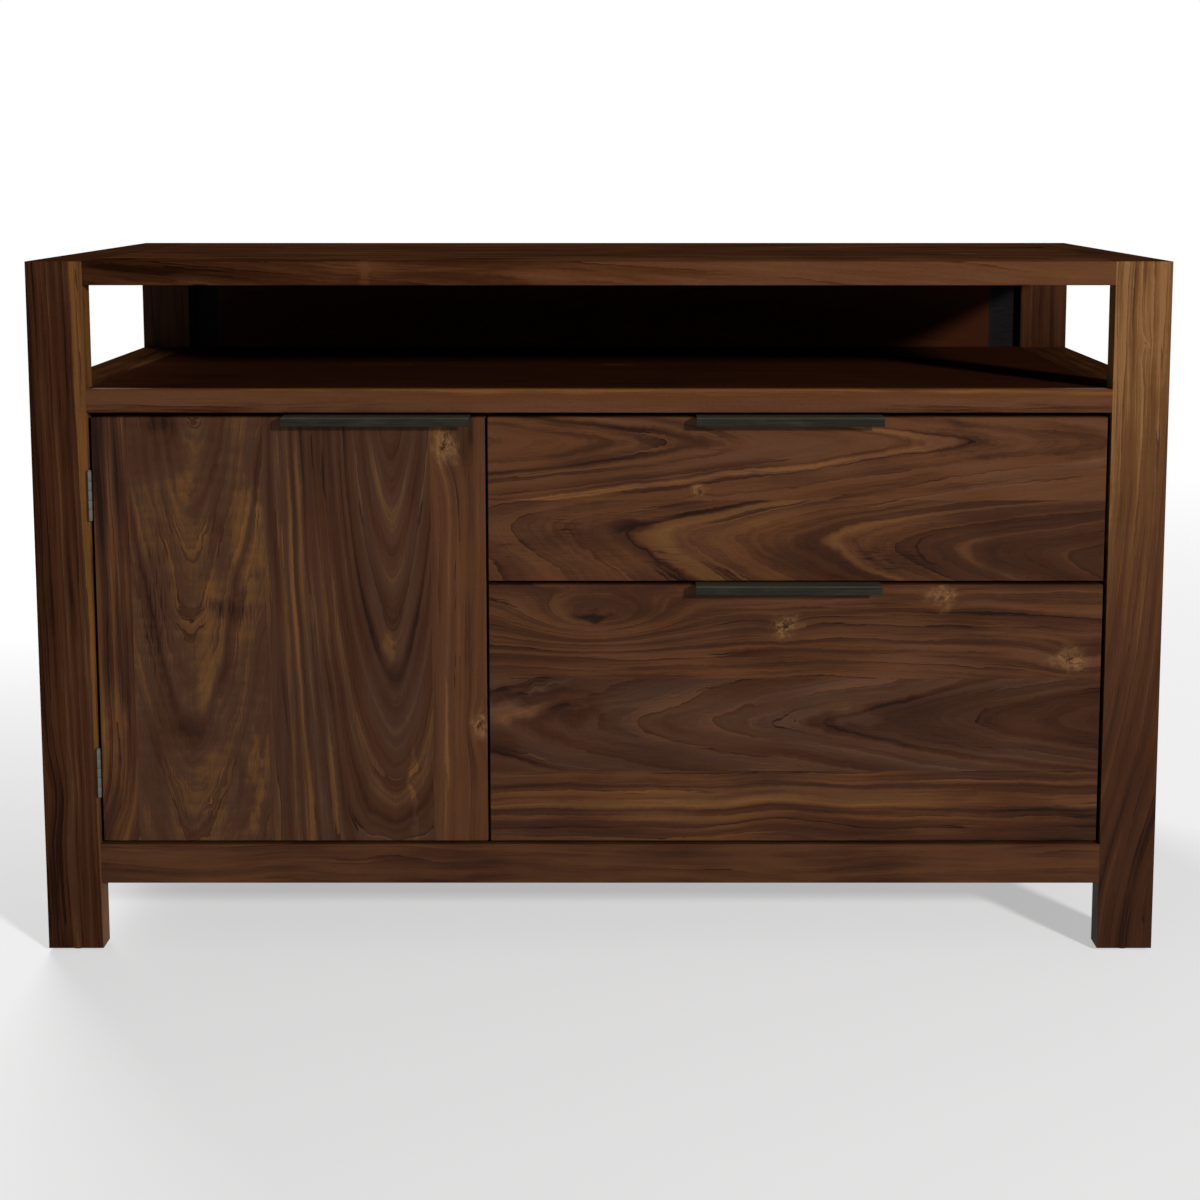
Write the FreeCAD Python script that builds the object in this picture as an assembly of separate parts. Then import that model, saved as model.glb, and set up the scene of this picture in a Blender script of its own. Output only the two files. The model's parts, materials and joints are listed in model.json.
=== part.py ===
import FreeCAD, Part
import os

# Office credenza: an open bay over a case with one hinged door and two drawers.
# Millimetres. +Z is up, the fronts face -Y, and the origin is the centre of the
# footprint, on the floor. The footprint takes in the pulls, which stand proud.

# ---------------------------------------------------------------- driving dimensions

overall_width = 1219.2
case_depth = 508.0
overall_height = 762.0

# Legs, rails, top and fixed shelf are all cut from one stock thickness.
stock_thickness = 25.4
stock_width = 60.3
arris = 1.0

# Heights above the floor.
shelf_top = 625.5
fronts_top = 595.0
fronts_bottom = 125.0
drawer_split = 414.25
drawer_split_gap = 3.9
bottom_rail_bottom = 77.5
bottom_rail_top = 121.8

# Widths and positions across the fronts.
side_gap = 3.7
door_right = -122.9
drawers_left = -120.2
front_thickness = 19.05
front_inset = 2.0

# Case panels.
panel_thickness = 19.05
side_panel_recess = 12.7
back_panel_thickness = 12.7
back_panel_recess = 6.35
bay_back_half_width = 508.0
bay_back_recess = 3.2
partition_clearance = 1.8

# Cable brushes, one from each side into both gaps beside the bay's back.
brush_carrier_width = 5.0
brush_carrier_depth = 8.0
bristle_thickness = 1.6
bristle_meeting_gap = 0.6

# Adjustable shelf in the door compartment.
loose_shelf_height = 350.0
loose_shelf_setback = 70.0
loose_shelf_back_gap = 20.0
loose_shelf_side_gap = 1.2
shelf_pin_radius = 2.5
shelf_pin_length = 16.0
shelf_pin_collar_radius = 4.5
shelf_pin_collar_length = 1.0
shelf_pin_hole_depth = 9.0
shelf_pin_end_gap = 1.0
shelf_pin_front_inset = 40.0
shelf_pin_rear_inset = 50.0
shelf_hole_clearance = 0.05
shelf_hole_pitch = 32.0
shelf_holes_each_way = 2

# Edge pulls, bent from flat bar.
pull_length = 200.0
pull_projection = 18.0
pull_plate = 2.0
pull_lip_height = 14.0
pull_flange_height = 12.0
door_pull_centre = -238.5
drawer_pull_centre = 204.0
pull_screw_spread = 150.0

# Butt hinges.
hinge_length = 52.0
hinge_centres = (511.0, 204.0)
hinge_axis_x = -546.9
barrel_radius = 2.4
barrel_stand_off = 0.3
hinge_pin_radius = 1.2
hinge_pin_running_clearance = 0.05
hinge_pin_head_radius = 2.2
hinge_pin_head_height = 1.6
leaf_thickness = 1.4
leaf_depth = 19.0
knuckle_count = 5
knuckle_gap = 0.3
leaf_relief = 0.4
hinge_screw_offset = 15.0
bore_overrun = 1.0

# Magnetic catch.
catch_height = 44.0
catch_depth = 34.0
catch_width = 12.5
catch_centre = 470.0
catch_gap = 0.5
strike_thickness = 1.2
strike_height = 36.0
magnet_end_cover = 8.0
magnet_side_cover = 3.0

# Drawer boxes.
box_side_thickness = 12.7
box_front_thickness = 15.9
box_bottom_thickness = 6.35
box_bottom_raise = 8.0
box_length = 448.0
box_screw_end_inset = 60.0
box_screw_low_inset = 40.0
box_screw_high_inset = 35.0
upper_box = (428.0, 575.0)
lower_box = (134.0, 398.0)

# Drawer slides, three members nested in one thickness.
slide_thickness = 12.7
slide_length = 448.0
slide_setback = 24.0
slide_height = 45.0
slide_sheet = 1.5
slide_nesting_gap = 0.6
upper_slide_centre = 474.0
lower_slide_centre = 226.0
packer_height = 64.0

# Hanging-file rails of the lower drawer.
file_rail_spacing = 318.0
file_rail_thickness = 3.0
file_rail_height = 19.0
file_rail_front_space = 40.0

# Fasteners and feet.
screw_radius = 1.8
screw_head_radius = 3.6
screw_head_height = 1.8
screw_bite = 11.0
back_screw_heights = (180.0, 361.0, 542.0)
glide_radius = 9.0
glide_height = 3.0
glide_nail_radius = 1.2
glide_nail_length = 12.0

# ---------------------------------------------------------------- derived positions

half_width = overall_width / 2
proud = pull_projection - front_inset
front_y = -(case_depth - proud) / 2
rear_y = front_y + case_depth
frame_inner_x = half_width - stock_width
frame_front_y = front_y + stock_thickness
frame_rear_y = rear_y - stock_thickness
top_underside = overall_height - stock_thickness
shelf_underside = shelf_top - stock_thickness
side_outer_x = half_width - side_panel_recess
side_inner_x = side_outer_x - panel_thickness
partition_left = (door_right + drawers_left - panel_thickness) / 2
partition_right = partition_left + panel_thickness
face_y = front_y + front_inset
fronts_back_y = face_y + front_thickness
back_panel_front_y = rear_y - back_panel_recess - back_panel_thickness
door_left = -frame_inner_x + side_gap
drawers_right = frame_inner_x - side_gap
box_left = partition_right + slide_thickness
box_right = frame_inner_x - slide_thickness
box_rear_y = fronts_back_y + box_length
hinge_axis_y = front_y - barrel_radius - barrel_stand_off
slide_front_y = front_y + slide_setback
upper_front_bottom = drawer_split + drawer_split_gap / 2
lower_front_top = drawer_split - drawer_split_gap / 2

parallel_tolerance = 0.001
along_x = FreeCAD.Vector(1, 0, 0)
along_y = FreeCAD.Vector(0, 1, 0)
along_z = FreeCAD.Vector(0, 0, 1)


# ---------------------------------------------------------------- shape helpers

def block(x_range, y_range, z_range):
    """Box between two values on each axis."""
    corner = FreeCAD.Vector(x_range[0], y_range[0], z_range[0])
    size_x = x_range[1] - x_range[0]
    size_y = y_range[1] - y_range[0]
    size_z = z_range[1] - z_range[0]
    return Part.makeBox(size_x, size_y, size_z, corner)


def rod(radius, length, start, direction):
    """Cylinder from a start point along a direction."""
    return Part.makeCylinder(radius, length, start, direction)


def along(edge, direction):
    """True for a straight edge that runs along the direction."""
    ends = [vertex.Point for vertex in edge.Vertexes]
    span = ends[1] - ends[0]
    return span.cross(direction).Length < parallel_tolerance


def eased(shape, direction):
    """Chamfer the edges that run along one direction, as a sanded arris."""
    return shape.makeChamfer(arris, [edge for edge in shape.Edges if along(edge, direction)])


def eased_all(shape):
    """Chamfer every edge of a plain board."""
    return shape.makeChamfer(arris, shape.Edges)


def extruded_x(points, x_range):
    """Prism along X over a closed outline of (y, z) points."""
    outline = [FreeCAD.Vector(x_range[0], y, z) for y, z in points]
    face = Part.Face(Part.makePolygon(outline + outline[:1]))
    return face.extrude(along_x * (x_range[1] - x_range[0]))


def extruded_y(points, y_range):
    """Prism along Y over a closed outline of (x, z) points."""
    outline = [FreeCAD.Vector(x, y_range[0], z) for x, z in points]
    face = Part.Face(Part.makePolygon(outline + outline[:1]))
    return face.extrude(along_y * (y_range[1] - y_range[0]))


def wood_screw(head_point, direction, covered):
    """Pan-head screw: the head stands on head_point and the shank goes the other way.

    covered is the thickness of what the screw clamps before it bites.
    """
    head = rod(screw_head_radius, screw_head_height, head_point, direction)
    shank = rod(screw_radius, covered + screw_bite, head_point, direction * -1)
    return head.fuse(shank)


def save(node, *solids):
    """Write one node: a single solid, or a group of separate solids."""
    shape = solids[0] if len(solids) == 1 else Part.makeCompound(list(solids))
    assert shape.isValid(), node
    shape.exportStep("parts/" + node + ".step")


# ---------------------------------------------------------------- side frames

def leg_x_range(side):
    """X span of the leg and rail stock on the left (-1) or right (1)."""
    outer = side * half_width
    inner = side * frame_inner_x
    return (min(outer, inner), max(outer, inner))


def leg(side, outer_y, inner_y):
    """Full-height leg, mitred at the top where the top rail meets it."""
    y_range = (min(outer_y, inner_y), max(outer_y, inner_y))
    bar = eased(block(leg_x_range(side), y_range, (glide_height, overall_height)), along_z)
    beyond = inner_y + (inner_y - outer_y)
    wedge = [
        (outer_y, overall_height),
        (beyond, overall_height),
        (beyond, top_underside - stock_thickness),
    ]
    return bar.cut(extruded_x(wedge, leg_x_range(side)))


def top_rail(side):
    """Rail over the two legs of one side, mitred to both."""
    outline = [
        (front_y, overall_height),
        (rear_y, overall_height),
        (frame_rear_y, top_underside),
        (frame_front_y, top_underside),
    ]
    return eased(extruded_x(outline, leg_x_range(side)), along_y)


def shelf_rail(side):
    """Rail at the height of the fixed shelf, between the two legs of one side."""
    rail_z = (shelf_underside, shelf_top)
    return eased(block(leg_x_range(side), (frame_front_y, frame_rear_y), rail_z), along_y)


def foot_glide(side, y):
    """Nail-on glide under one leg."""
    centre = FreeCAD.Vector(side * (half_width - stock_width / 2), y, 0)
    disc = rod(glide_radius, glide_height, centre, along_z)
    nail = rod(glide_nail_radius, glide_height + glide_nail_length, centre, along_z)
    return disc.fuse(nail)


def build_side_frames():
    for side_name, side in (("left", -1), ("right", 1)):
        save("front_" + side_name + "_leg", leg(side, front_y, frame_front_y))
        save("rear_" + side_name + "_leg", leg(side, rear_y, frame_rear_y))
        save(side_name + "_top_rail", top_rail(side))
        save(side_name + "_shelf_rail", shelf_rail(side))
    glide_rows = (front_y + stock_thickness / 2, rear_y - stock_thickness / 2)
    save("foot_glides", *[foot_glide(side, y) for side in (-1, 1) for y in glide_rows])


# ---------------------------------------------------------------- case panels

def side_panel(side):
    """Panel that fills one side frame below the shelf rail."""
    outer = side * side_outer_x
    inner = side * side_inner_x
    x_range = (min(outer, inner), max(outer, inner))
    return block(x_range, (frame_front_y, frame_rear_y), (bottom_rail_bottom, shelf_underside))


def shelf_pin_rows():
    """Y of the front and the rear column of shelf pins."""
    front_row = frame_front_y + loose_shelf_setback + shelf_pin_front_inset
    rear_row = back_panel_front_y - loose_shelf_back_gap - shelf_pin_rear_inset
    return (front_row, rear_row)


def shelf_pin_height():
    """Axis height of the pins that carry the adjustable shelf."""
    return loose_shelf_height - shelf_pin_radius


def shelf_holes(wall_x, direction):
    """Two columns of pin holes in the wall whose face is at wall_x."""
    holes = []
    for y in shelf_pin_rows():
        for step in range(-shelf_holes_each_way, shelf_holes_each_way + 1):
            mouth = FreeCAD.Vector(wall_x, y, shelf_pin_height() + step * shelf_hole_pitch)
            radius = shelf_pin_radius + shelf_hole_clearance
            holes.append(rod(radius, shelf_pin_hole_depth, mouth, direction))
    return Part.makeCompound(holes)


def shelf_pin(wall_x, y, direction):
    """Shelf pin with a collar against the wall; direction points into the compartment."""
    mouth = FreeCAD.Vector(wall_x, y, shelf_pin_height())
    buried = direction * (shelf_pin_hole_depth - shelf_pin_end_gap)
    pin = rod(shelf_pin_radius, shelf_pin_length, mouth - buried, direction)
    collar = rod(shelf_pin_collar_radius, shelf_pin_collar_length, mouth, direction)
    return pin.fuse(collar)


def cable_brush(wall_x, side, y):
    """Carrier strip on a wall with bristles to the middle of the gap; side points into the gap."""
    gap = frame_inner_x - bay_back_half_width
    height = (shelf_top, top_underside)
    carrier_end = wall_x + side * brush_carrier_width
    bristle_end = wall_x + side * (gap - bristle_meeting_gap) / 2
    carrier_y = (y - brush_carrier_depth / 2, y + brush_carrier_depth / 2)
    bristle_y = (y - bristle_thickness / 2, y + bristle_thickness / 2)
    carrier = block((min(wall_x, carrier_end), max(wall_x, carrier_end)), carrier_y, height)
    bristles = block((min(wall_x, bristle_end), max(wall_x, bristle_end)), bristle_y, height)
    return carrier.fuse(bristles)


def build_case():
    width = (-frame_inner_x, frame_inner_x)
    full_depth = (front_y, rear_y)
    between_legs = (frame_front_y, frame_rear_y)
    inside = (-side_inner_x, side_inner_x)

    top = block(width, full_depth, (top_underside, overall_height))
    save("top_panel", eased(top, along_x))
    shelf = block(width, full_depth, (shelf_underside, shelf_top))
    save("shelf_panel", eased(shelf, along_x))

    bay_back_rear = rear_y - bay_back_recess
    bay_back_y = (bay_back_rear - panel_thickness, bay_back_rear)
    bay_back_x = (-bay_back_half_width, bay_back_half_width)
    save("bay_back_panel", block(bay_back_x, bay_back_y, (shelf_top, top_underside)))
    brush_y = (bay_back_y[0] + bay_back_y[1]) / 2
    brushes = []
    for side in (-1, 1):
        brushes.append(cable_brush(side * frame_inner_x, -side, brush_y))
        brushes.append(cable_brush(side * bay_back_half_width, side, brush_y))
    save("bay_cable_brushes", *brushes)

    rail_z = (bottom_rail_bottom, bottom_rail_top)
    save("front_bottom_rail", eased(block(width, (front_y, frame_front_y), rail_z), along_x))
    save("rear_bottom_rail", eased(block(width, (frame_rear_y, rear_y), rail_z), along_x))
    bottom_z = (bottom_rail_top - panel_thickness, bottom_rail_top)
    save("bottom_panel", block(inside, between_legs, bottom_z))

    back_y = (back_panel_front_y, back_panel_front_y + back_panel_thickness)
    case_z = (bottom_rail_top, shelf_underside)
    save("case_back_panel", block(width, back_y, case_z))

    partition_x = (partition_left, partition_right)
    partition_y = (fronts_back_y + partition_clearance, back_panel_front_y)
    partition = block(partition_x, partition_y, case_z)
    save("partition_panel", partition.cut(shelf_holes(partition_left, along_x)))
    save("left_side_panel", side_panel(-1).cut(shelf_holes(-side_inner_x, along_x * -1)))
    save("right_side_panel", side_panel(1))

    packer_x = (frame_inner_x, side_inner_x)
    packers = []
    for centre in (upper_slide_centre, lower_slide_centre):
        packer_z = (centre - packer_height / 2, centre + packer_height / 2)
        packers.append(block(packer_x, between_legs, packer_z))
    save("slide_packers", *packers)

    screw_x = (partition_left + partition_right) / 2
    outside_y = back_panel_front_y + back_panel_thickness
    back_screws = []
    for height in back_screw_heights:
        head_point = FreeCAD.Vector(screw_x, outside_y, height)
        back_screws.append(wood_screw(head_point, along_y, back_panel_thickness))
    save("back_screws", *back_screws)


def build_loose_shelf():
    shelf_x = (-side_inner_x + loose_shelf_side_gap, partition_left - loose_shelf_side_gap)
    shelf_y = (frame_front_y + loose_shelf_setback, back_panel_front_y - loose_shelf_back_gap)
    shelf_z = (loose_shelf_height, loose_shelf_height + panel_thickness)
    save("adjustable_shelf", eased(block(shelf_x, shelf_y, shelf_z), along_x))
    pins = []
    for y in shelf_pin_rows():
        pins.append(shelf_pin(-side_inner_x, y, along_x))
        pins.append(shelf_pin(partition_left, y, along_x * -1))
    save("shelf_pins", *pins)


# ---------------------------------------------------------------- edge pulls

def pull(centre_x, front_top):
    """Bent bar over the top edge of a front: lip, top plate and rear flange."""
    lip_y = face_y - pull_projection
    top_z = front_top + pull_plate
    flange_y = fronts_back_y + pull_plate
    outline = [
        (lip_y, top_z - pull_lip_height),
        (lip_y, top_z),
        (flange_y, top_z),
        (flange_y, top_z - pull_flange_height),
        (fronts_back_y, top_z - pull_flange_height),
        (fronts_back_y, front_top),
        (lip_y + pull_plate, front_top),
        (lip_y + pull_plate, top_z - pull_lip_height),
    ]
    return extruded_x(outline, (centre_x - pull_length / 2, centre_x + pull_length / 2))


def pull_screws(centre_x, front_top):
    """Screws that hold the rear flange to the back of the front."""
    height = front_top + pull_plate - pull_flange_height / 2 - pull_plate / 2
    screws = []
    for offset in (-pull_screw_spread / 2, pull_screw_spread / 2):
        head_point = FreeCAD.Vector(centre_x + offset, fronts_back_y + pull_plate, height)
        screws.append(wood_screw(head_point, along_y, pull_plate))
    return screws


def build_pull(prefix, centre_x, front_top):
    screws = pull_screws(centre_x, front_top)
    save(prefix + "_pull", pull(centre_x, front_top).cut(Part.makeCompound(screws)))
    save(prefix + "_pull_screws", *screws)


# ---------------------------------------------------------------- door and its hinges

def leaf_screw(leaf_face_x, height, direction):
    """Countersunk screw, flush with the open face of a leaf; direction points into the wood."""
    y = face_y + front_thickness / 2
    start = FreeCAD.Vector(leaf_face_x, y, height)
    head = Part.makeCone(screw_head_radius, screw_radius, leaf_thickness, start, direction)
    shank = rod(screw_radius, leaf_thickness + screw_bite, start, direction)
    return head.fuse(shank)


def leaf_screws(leaf_face_x, direction):
    screws = []
    for centre in hinge_centres:
        for offset in (-hinge_screw_offset, hinge_screw_offset):
            screws.append(leaf_screw(leaf_face_x, centre + offset, direction))
    return screws


def hinge_leaf(centre, plate_x, own_knuckles, bore_radius):
    """One leaf: a plate beside the gap, and the knuckles that it rolls into."""
    bottom = centre - hinge_length / 2
    plate_front = hinge_axis_y + barrel_radius + leaf_relief
    plate_rear = face_y + leaf_depth
    leaf = block(plate_x, (plate_front, plate_rear), (bottom, bottom + hinge_length))
    pitch = (hinge_length + knuckle_gap) / knuckle_count
    for index in own_knuckles:
        low = bottom + index * pitch
        knuckle_z = (low, low + pitch - knuckle_gap)
        foot = FreeCAD.Vector(hinge_axis_x, hinge_axis_y, low)
        barrel = rod(barrel_radius, pitch - knuckle_gap, foot, along_z)
        tab = block(plate_x, (hinge_axis_y + hinge_pin_radius, plate_front), knuckle_z)
        leaf = leaf.fuse(barrel).fuse(tab)
    axis_foot = FreeCAD.Vector(hinge_axis_x, hinge_axis_y, bottom - bore_overrun)
    bore = rod(bore_radius, hinge_length + 2 * bore_overrun, axis_foot, along_z)
    return leaf.cut(bore).removeSplitter()


def hinge_pin(centre):
    """Pin through the barrel, with a head at each end."""
    bottom = centre - hinge_length / 2
    start = FreeCAD.Vector(hinge_axis_x, hinge_axis_y, bottom)
    shaft = rod(hinge_pin_radius, hinge_length, start, along_z)
    foot = rod(hinge_pin_head_radius, hinge_pin_head_height, start, along_z * -1)
    top = start + along_z * hinge_length
    head = rod(hinge_pin_head_radius, hinge_pin_head_height, top, along_z)
    return shaft.fuse(foot).fuse(head)


def build_door():
    panel_z = (fronts_bottom, fronts_top)
    door = block((door_left, door_right), (face_y, fronts_back_y), panel_z)
    save("door_panel", eased_all(door))
    build_pull("door", door_pull_centre, fronts_top)

    case_leaf_face = -frame_inner_x + leaf_thickness
    door_leaf_face = door_left - leaf_thickness
    case_screws = leaf_screws(case_leaf_face, along_x * -1)
    door_screws = leaf_screws(door_leaf_face, along_x)
    case_knuckles = range(0, knuckle_count, 2)
    door_knuckles = range(1, knuckle_count, 2)
    running_bore = hinge_pin_radius + hinge_pin_running_clearance
    case_leaves = []
    door_leaves = []
    for centre in hinge_centres:
        case_plate = (-frame_inner_x, case_leaf_face)
        door_plate = (door_leaf_face, door_left)
        case_leaf = hinge_leaf(centre, case_plate, case_knuckles, hinge_pin_radius)
        door_leaf = hinge_leaf(centre, door_plate, door_knuckles, running_bore)
        case_leaves.append(case_leaf.cut(Part.makeCompound(case_screws)))
        door_leaves.append(door_leaf.cut(Part.makeCompound(door_screws)))
    save("hinge_case_leaves", *case_leaves)
    save("hinge_door_leaves", *door_leaves)
    save("hinge_case_screws", *case_screws)
    save("hinge_door_screws", *door_screws)
    save("hinge_pins", *[hinge_pin(centre) for centre in hinge_centres])


def build_catch():
    strike_x = (partition_left - catch_width, partition_left)
    strike_y = (fronts_back_y, fronts_back_y + strike_thickness)
    strike_z = (catch_centre - strike_height / 2, catch_centre + strike_height / 2)
    save("catch_strike", block(strike_x, strike_y, strike_z))

    body_front = strike_y[1] + catch_gap
    body_z = (catch_centre - catch_height / 2, catch_centre + catch_height / 2)
    housing = block(strike_x, (body_front, body_front + catch_depth), body_z)
    magnet_x = (strike_x[0] + magnet_side_cover, strike_x[1] - magnet_side_cover)
    magnet_z = (body_z[0] + magnet_end_cover, body_z[1] - magnet_end_cover)
    magnet = block(magnet_x, (body_front, body_front + catch_depth / 2), magnet_z)
    save("catch_housing", housing.cut(magnet))
    save("catch_magnet", magnet)


# ---------------------------------------------------------------- drawer slides

def channel(wall_x, side, near, far, web_near, height, centre):
    """One C-shaped member of a slide.

    near and far are its distances from the wall, side is the direction away from
    the wall, and web_near tells whether the web is on the wall's side.
    """
    half = height / 2
    web = slide_sheet
    if web_near:
        web_out, web_in, lips = near, near + web, far
    else:
        web_out, web_in, lips = far, far - web, near
    outline = [
        (wall_x + side * web_out, centre - half),
        (wall_x + side * lips, centre - half),
        (wall_x + side * lips, centre - half + web),
        (wall_x + side * web_in, centre - half + web),
        (wall_x + side * web_in, centre + half - web),
        (wall_x + side * lips, centre + half - web),
        (wall_x + side * lips, centre + half),
        (wall_x + side * web_out, centre + half),
    ]
    return extruded_y(outline, (slide_front_y, slide_front_y + slide_length))


def build_slides(prefix, centre):
    """Both slides of one drawer: case member, middle runner and drawer member."""
    walls = ((partition_right, 1), (frame_inner_x, -1))
    step = 2 * (slide_sheet + slide_nesting_gap)
    case_far = slide_thickness - slide_sheet - 2 * slide_nesting_gap
    runner_near = slide_sheet + slide_nesting_gap
    runner_far = slide_thickness - slide_sheet - slide_nesting_gap
    drawer_near = runner_near + slide_sheet + slide_nesting_gap
    case_members = []
    runners = []
    drawer_members = []
    for wall_x, side in walls:
        case_members.append(
            channel(wall_x, side, 0, case_far, True, slide_height, centre))
        runners.append(
            channel(wall_x, side, runner_near, runner_far, True, slide_height - step, centre))
        drawer_members.append(
            channel(wall_x, side, drawer_near, slide_thickness, False, slide_height - 2 * step, centre))
    save(prefix + "_slide_case_members", *case_members)
    save(prefix + "_slide_runners", *runners)
    save(prefix + "_slide_drawer_members", *drawer_members)


# ---------------------------------------------------------------- drawers

def box_bottom_top(box_z):
    """Upper face of a drawer box's bottom."""
    return box_z[0] + box_bottom_raise + box_bottom_thickness


def build_drawer_box(prefix, box_z):
    inner_x = (box_left + box_side_thickness, box_right - box_side_thickness)
    inner_front_y = fronts_back_y + box_front_thickness
    inner_rear_y = box_rear_y - box_side_thickness
    length = (fronts_back_y, box_rear_y)
    left = block((box_left, inner_x[0]), length, box_z)
    right = block((inner_x[1], box_right), length, box_z)
    save(prefix + "_drawer_left_side", left)
    save(prefix + "_drawer_right_side", right)
    save(prefix + "_drawer_inner_front", block(inner_x, (fronts_back_y, inner_front_y), box_z))
    save(prefix + "_drawer_back", block(inner_x, (inner_rear_y, box_rear_y), box_z))
    bottom_z = (box_z[0] + box_bottom_raise, box_bottom_top(box_z))
    save(prefix + "_drawer_bottom", block(inner_x, (inner_front_y, inner_rear_y), bottom_z))

    centre_x = (inner_x[0] + inner_x[1]) / 2
    spread_x = (inner_x[1] - inner_x[0]) / 2 - box_screw_end_inset
    screws = []
    for offset in (-spread_x, spread_x):
        for height in (box_z[0] + box_screw_low_inset, box_z[1] - box_screw_high_inset):
            head_point = FreeCAD.Vector(centre_x + offset, inner_front_y, height)
            screws.append(wood_screw(head_point, along_y, box_front_thickness))
    save(prefix + "_drawer_front_screws", *screws)


def build_drawer(prefix, front_z, box_z, slide_centre):
    front = block((drawers_left, drawers_right), (face_y, fronts_back_y), front_z)
    save(prefix + "_drawer_front", eased_all(front))
    build_pull(prefix + "_drawer", drawer_pull_centre, front_z[1])
    build_drawer_box(prefix, box_z)
    build_slides(prefix, slide_centre)


def build_file_rails():
    """Two bars across the lower drawer, one folder width apart, flush with its top."""
    rail_x = (box_left + box_side_thickness, box_right - box_side_thickness)
    rail_z = (lower_box[1] - file_rail_height, lower_box[1])
    first = fronts_back_y + box_front_thickness + file_rail_front_space
    rails = []
    for centre in (first, first + file_rail_spacing):
        rail_y = (centre - file_rail_thickness / 2, centre + file_rail_thickness / 2)
        rails.append(block(rail_x, rail_y, rail_z))
    save("file_rails", *rails)


# ---------------------------------------------------------------- the whole credenza

os.makedirs("parts", exist_ok=True)
build_side_frames()
build_case()
build_loose_shelf()
build_door()
build_catch()
build_drawer("upper", (upper_front_bottom, fronts_top), upper_box, upper_slide_centre)
build_drawer("lower", (fronts_bottom, lower_front_top), lower_box, lower_slide_centre)
build_file_rails()
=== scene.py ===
import json
import math
import random

import bmesh
import bpy
from mathutils import Matrix, Vector


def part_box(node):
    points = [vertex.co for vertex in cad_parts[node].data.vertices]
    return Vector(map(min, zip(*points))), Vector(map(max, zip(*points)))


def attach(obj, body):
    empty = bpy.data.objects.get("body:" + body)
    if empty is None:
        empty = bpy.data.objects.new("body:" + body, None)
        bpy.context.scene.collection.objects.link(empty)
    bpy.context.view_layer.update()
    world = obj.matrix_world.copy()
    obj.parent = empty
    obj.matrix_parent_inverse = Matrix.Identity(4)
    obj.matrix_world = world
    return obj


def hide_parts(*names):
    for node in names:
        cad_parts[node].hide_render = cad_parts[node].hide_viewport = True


bl_info = {
    "name": "Walnut Office Credenza",
    "version": (1, 0, 0),
    "blender": (4, 5, 0),
    "location": "View3D > Sidebar > Credenza",
    "description": "Dresses the packed credenza with its timber, metalwork and studio",
    "category": "Object",
}

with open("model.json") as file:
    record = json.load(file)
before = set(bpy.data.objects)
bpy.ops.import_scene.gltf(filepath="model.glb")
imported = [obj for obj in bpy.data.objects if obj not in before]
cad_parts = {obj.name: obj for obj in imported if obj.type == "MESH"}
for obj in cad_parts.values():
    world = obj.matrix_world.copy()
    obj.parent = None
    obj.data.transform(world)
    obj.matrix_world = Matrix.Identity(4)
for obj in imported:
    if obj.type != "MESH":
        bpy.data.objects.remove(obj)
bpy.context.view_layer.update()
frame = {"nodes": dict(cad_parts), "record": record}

MM = 0.001
AXES = "XYZ"
# Vertices of a CAD mesh that are nearer than this, in metres, are one corner.
SEAM_GAP = 0.00002
BODY_OF = {node: body for body, nodes in frame["record"]["behaviour"]["bodies"].items()
           for node in nodes}


# ---------------------------------------------------------------- settings

def tone(name, default, description):
    return bpy.props.FloatVectorProperty(
        name=name, description=description, default=default,
        subtype="COLOR", size=3, min=0.0, max=1.0)


def length(name, default, description):
    return bpy.props.FloatProperty(
        name=name, description=description, default=default, unit="LENGTH", min=0.0)


def position(name, default, description):
    return bpy.props.FloatVectorProperty(
        name=name, description=description, default=default, subtype="TRANSLATION")


def amount(name, default, description):
    return bpy.props.FloatProperty(name=name, description=description, default=default)


class CredenzaWalnut(bpy.types.PropertyGroup):
    """Colours and surface of the oiled walnut."""
    ink: tone("Ink", (0.0105, 0.0033, 0.0014), "Thin latewood lines and smudges")
    espresso: tone("Espresso", (0.0250, 0.0081, 0.0031), "Darkest heartwood")
    umber: tone("Umber", (0.0400, 0.0137, 0.0053), "Dark brown heartwood")
    heartwood: tone("Heartwood", (0.0570, 0.0210, 0.0081), "Middle brown heartwood")
    russet: tone("Russet", (0.0725, 0.0263, 0.0092), "Reddish brown")
    rosy: tone("Rosy", (0.0835, 0.0342, 0.0156), "Pale rosy brown")
    drab: tone("Drab", (0.0500, 0.0214, 0.0102), "Greyish brown")
    # Maroon is painted shade in the bay: a darker, redder walnut that stands for the shade inside the
    # open bay. The shelf's lipping also uses it as one of its dark tones.
    maroon: tone("Maroon", (0.0325, 0.0094, 0.0040), "Reddish heartwood inside the bay")
    honey: tone("Honey", (0.0955, 0.0402, 0.0115), "Golden brown")
    gold: tone("Gold", (0.1280, 0.0515, 0.0142), "Glints of the golden bands")
    sand: tone("Sand", (0.1700, 0.0800, 0.0300), "Palest golden bands")
    straw: tone("Straw", (0.1900, 0.0980, 0.0380), "Pale wood round the knots")
    specular: amount("Specular", 0.10, "Specular level of the oiled surface")


class CredenzaMetal(bpy.types.PropertyGroup):
    """Colours of the metalwork."""
    blackened: tone("Blackened steel", (0.0105, 0.0094, 0.0064), "Waxed black oxide of the pulls")
    # Worn edge is rubbed wear on the pulls' bevels and also a painted highlight on their upward faces.
    worn_and_highlight: tone("Worn edge", (0.036, 0.032, 0.022), "Rubbed edges of the pulls")
    satin: tone("Satin steel", (0.115, 0.115, 0.112), "Hinges and their screws")
    zinc: tone("Zinc plate", (0.58, 0.60, 0.62), "Slides, strike and pins")


class CredenzaMaple(bpy.types.PropertyGroup):
    """Colours of the drawer boxes."""
    pale: tone("Pale", (0.66, 0.50, 0.33), "Lacquered maple")
    deep: tone("Deep", (0.50, 0.34, 0.19), "Its darker rings")


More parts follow.
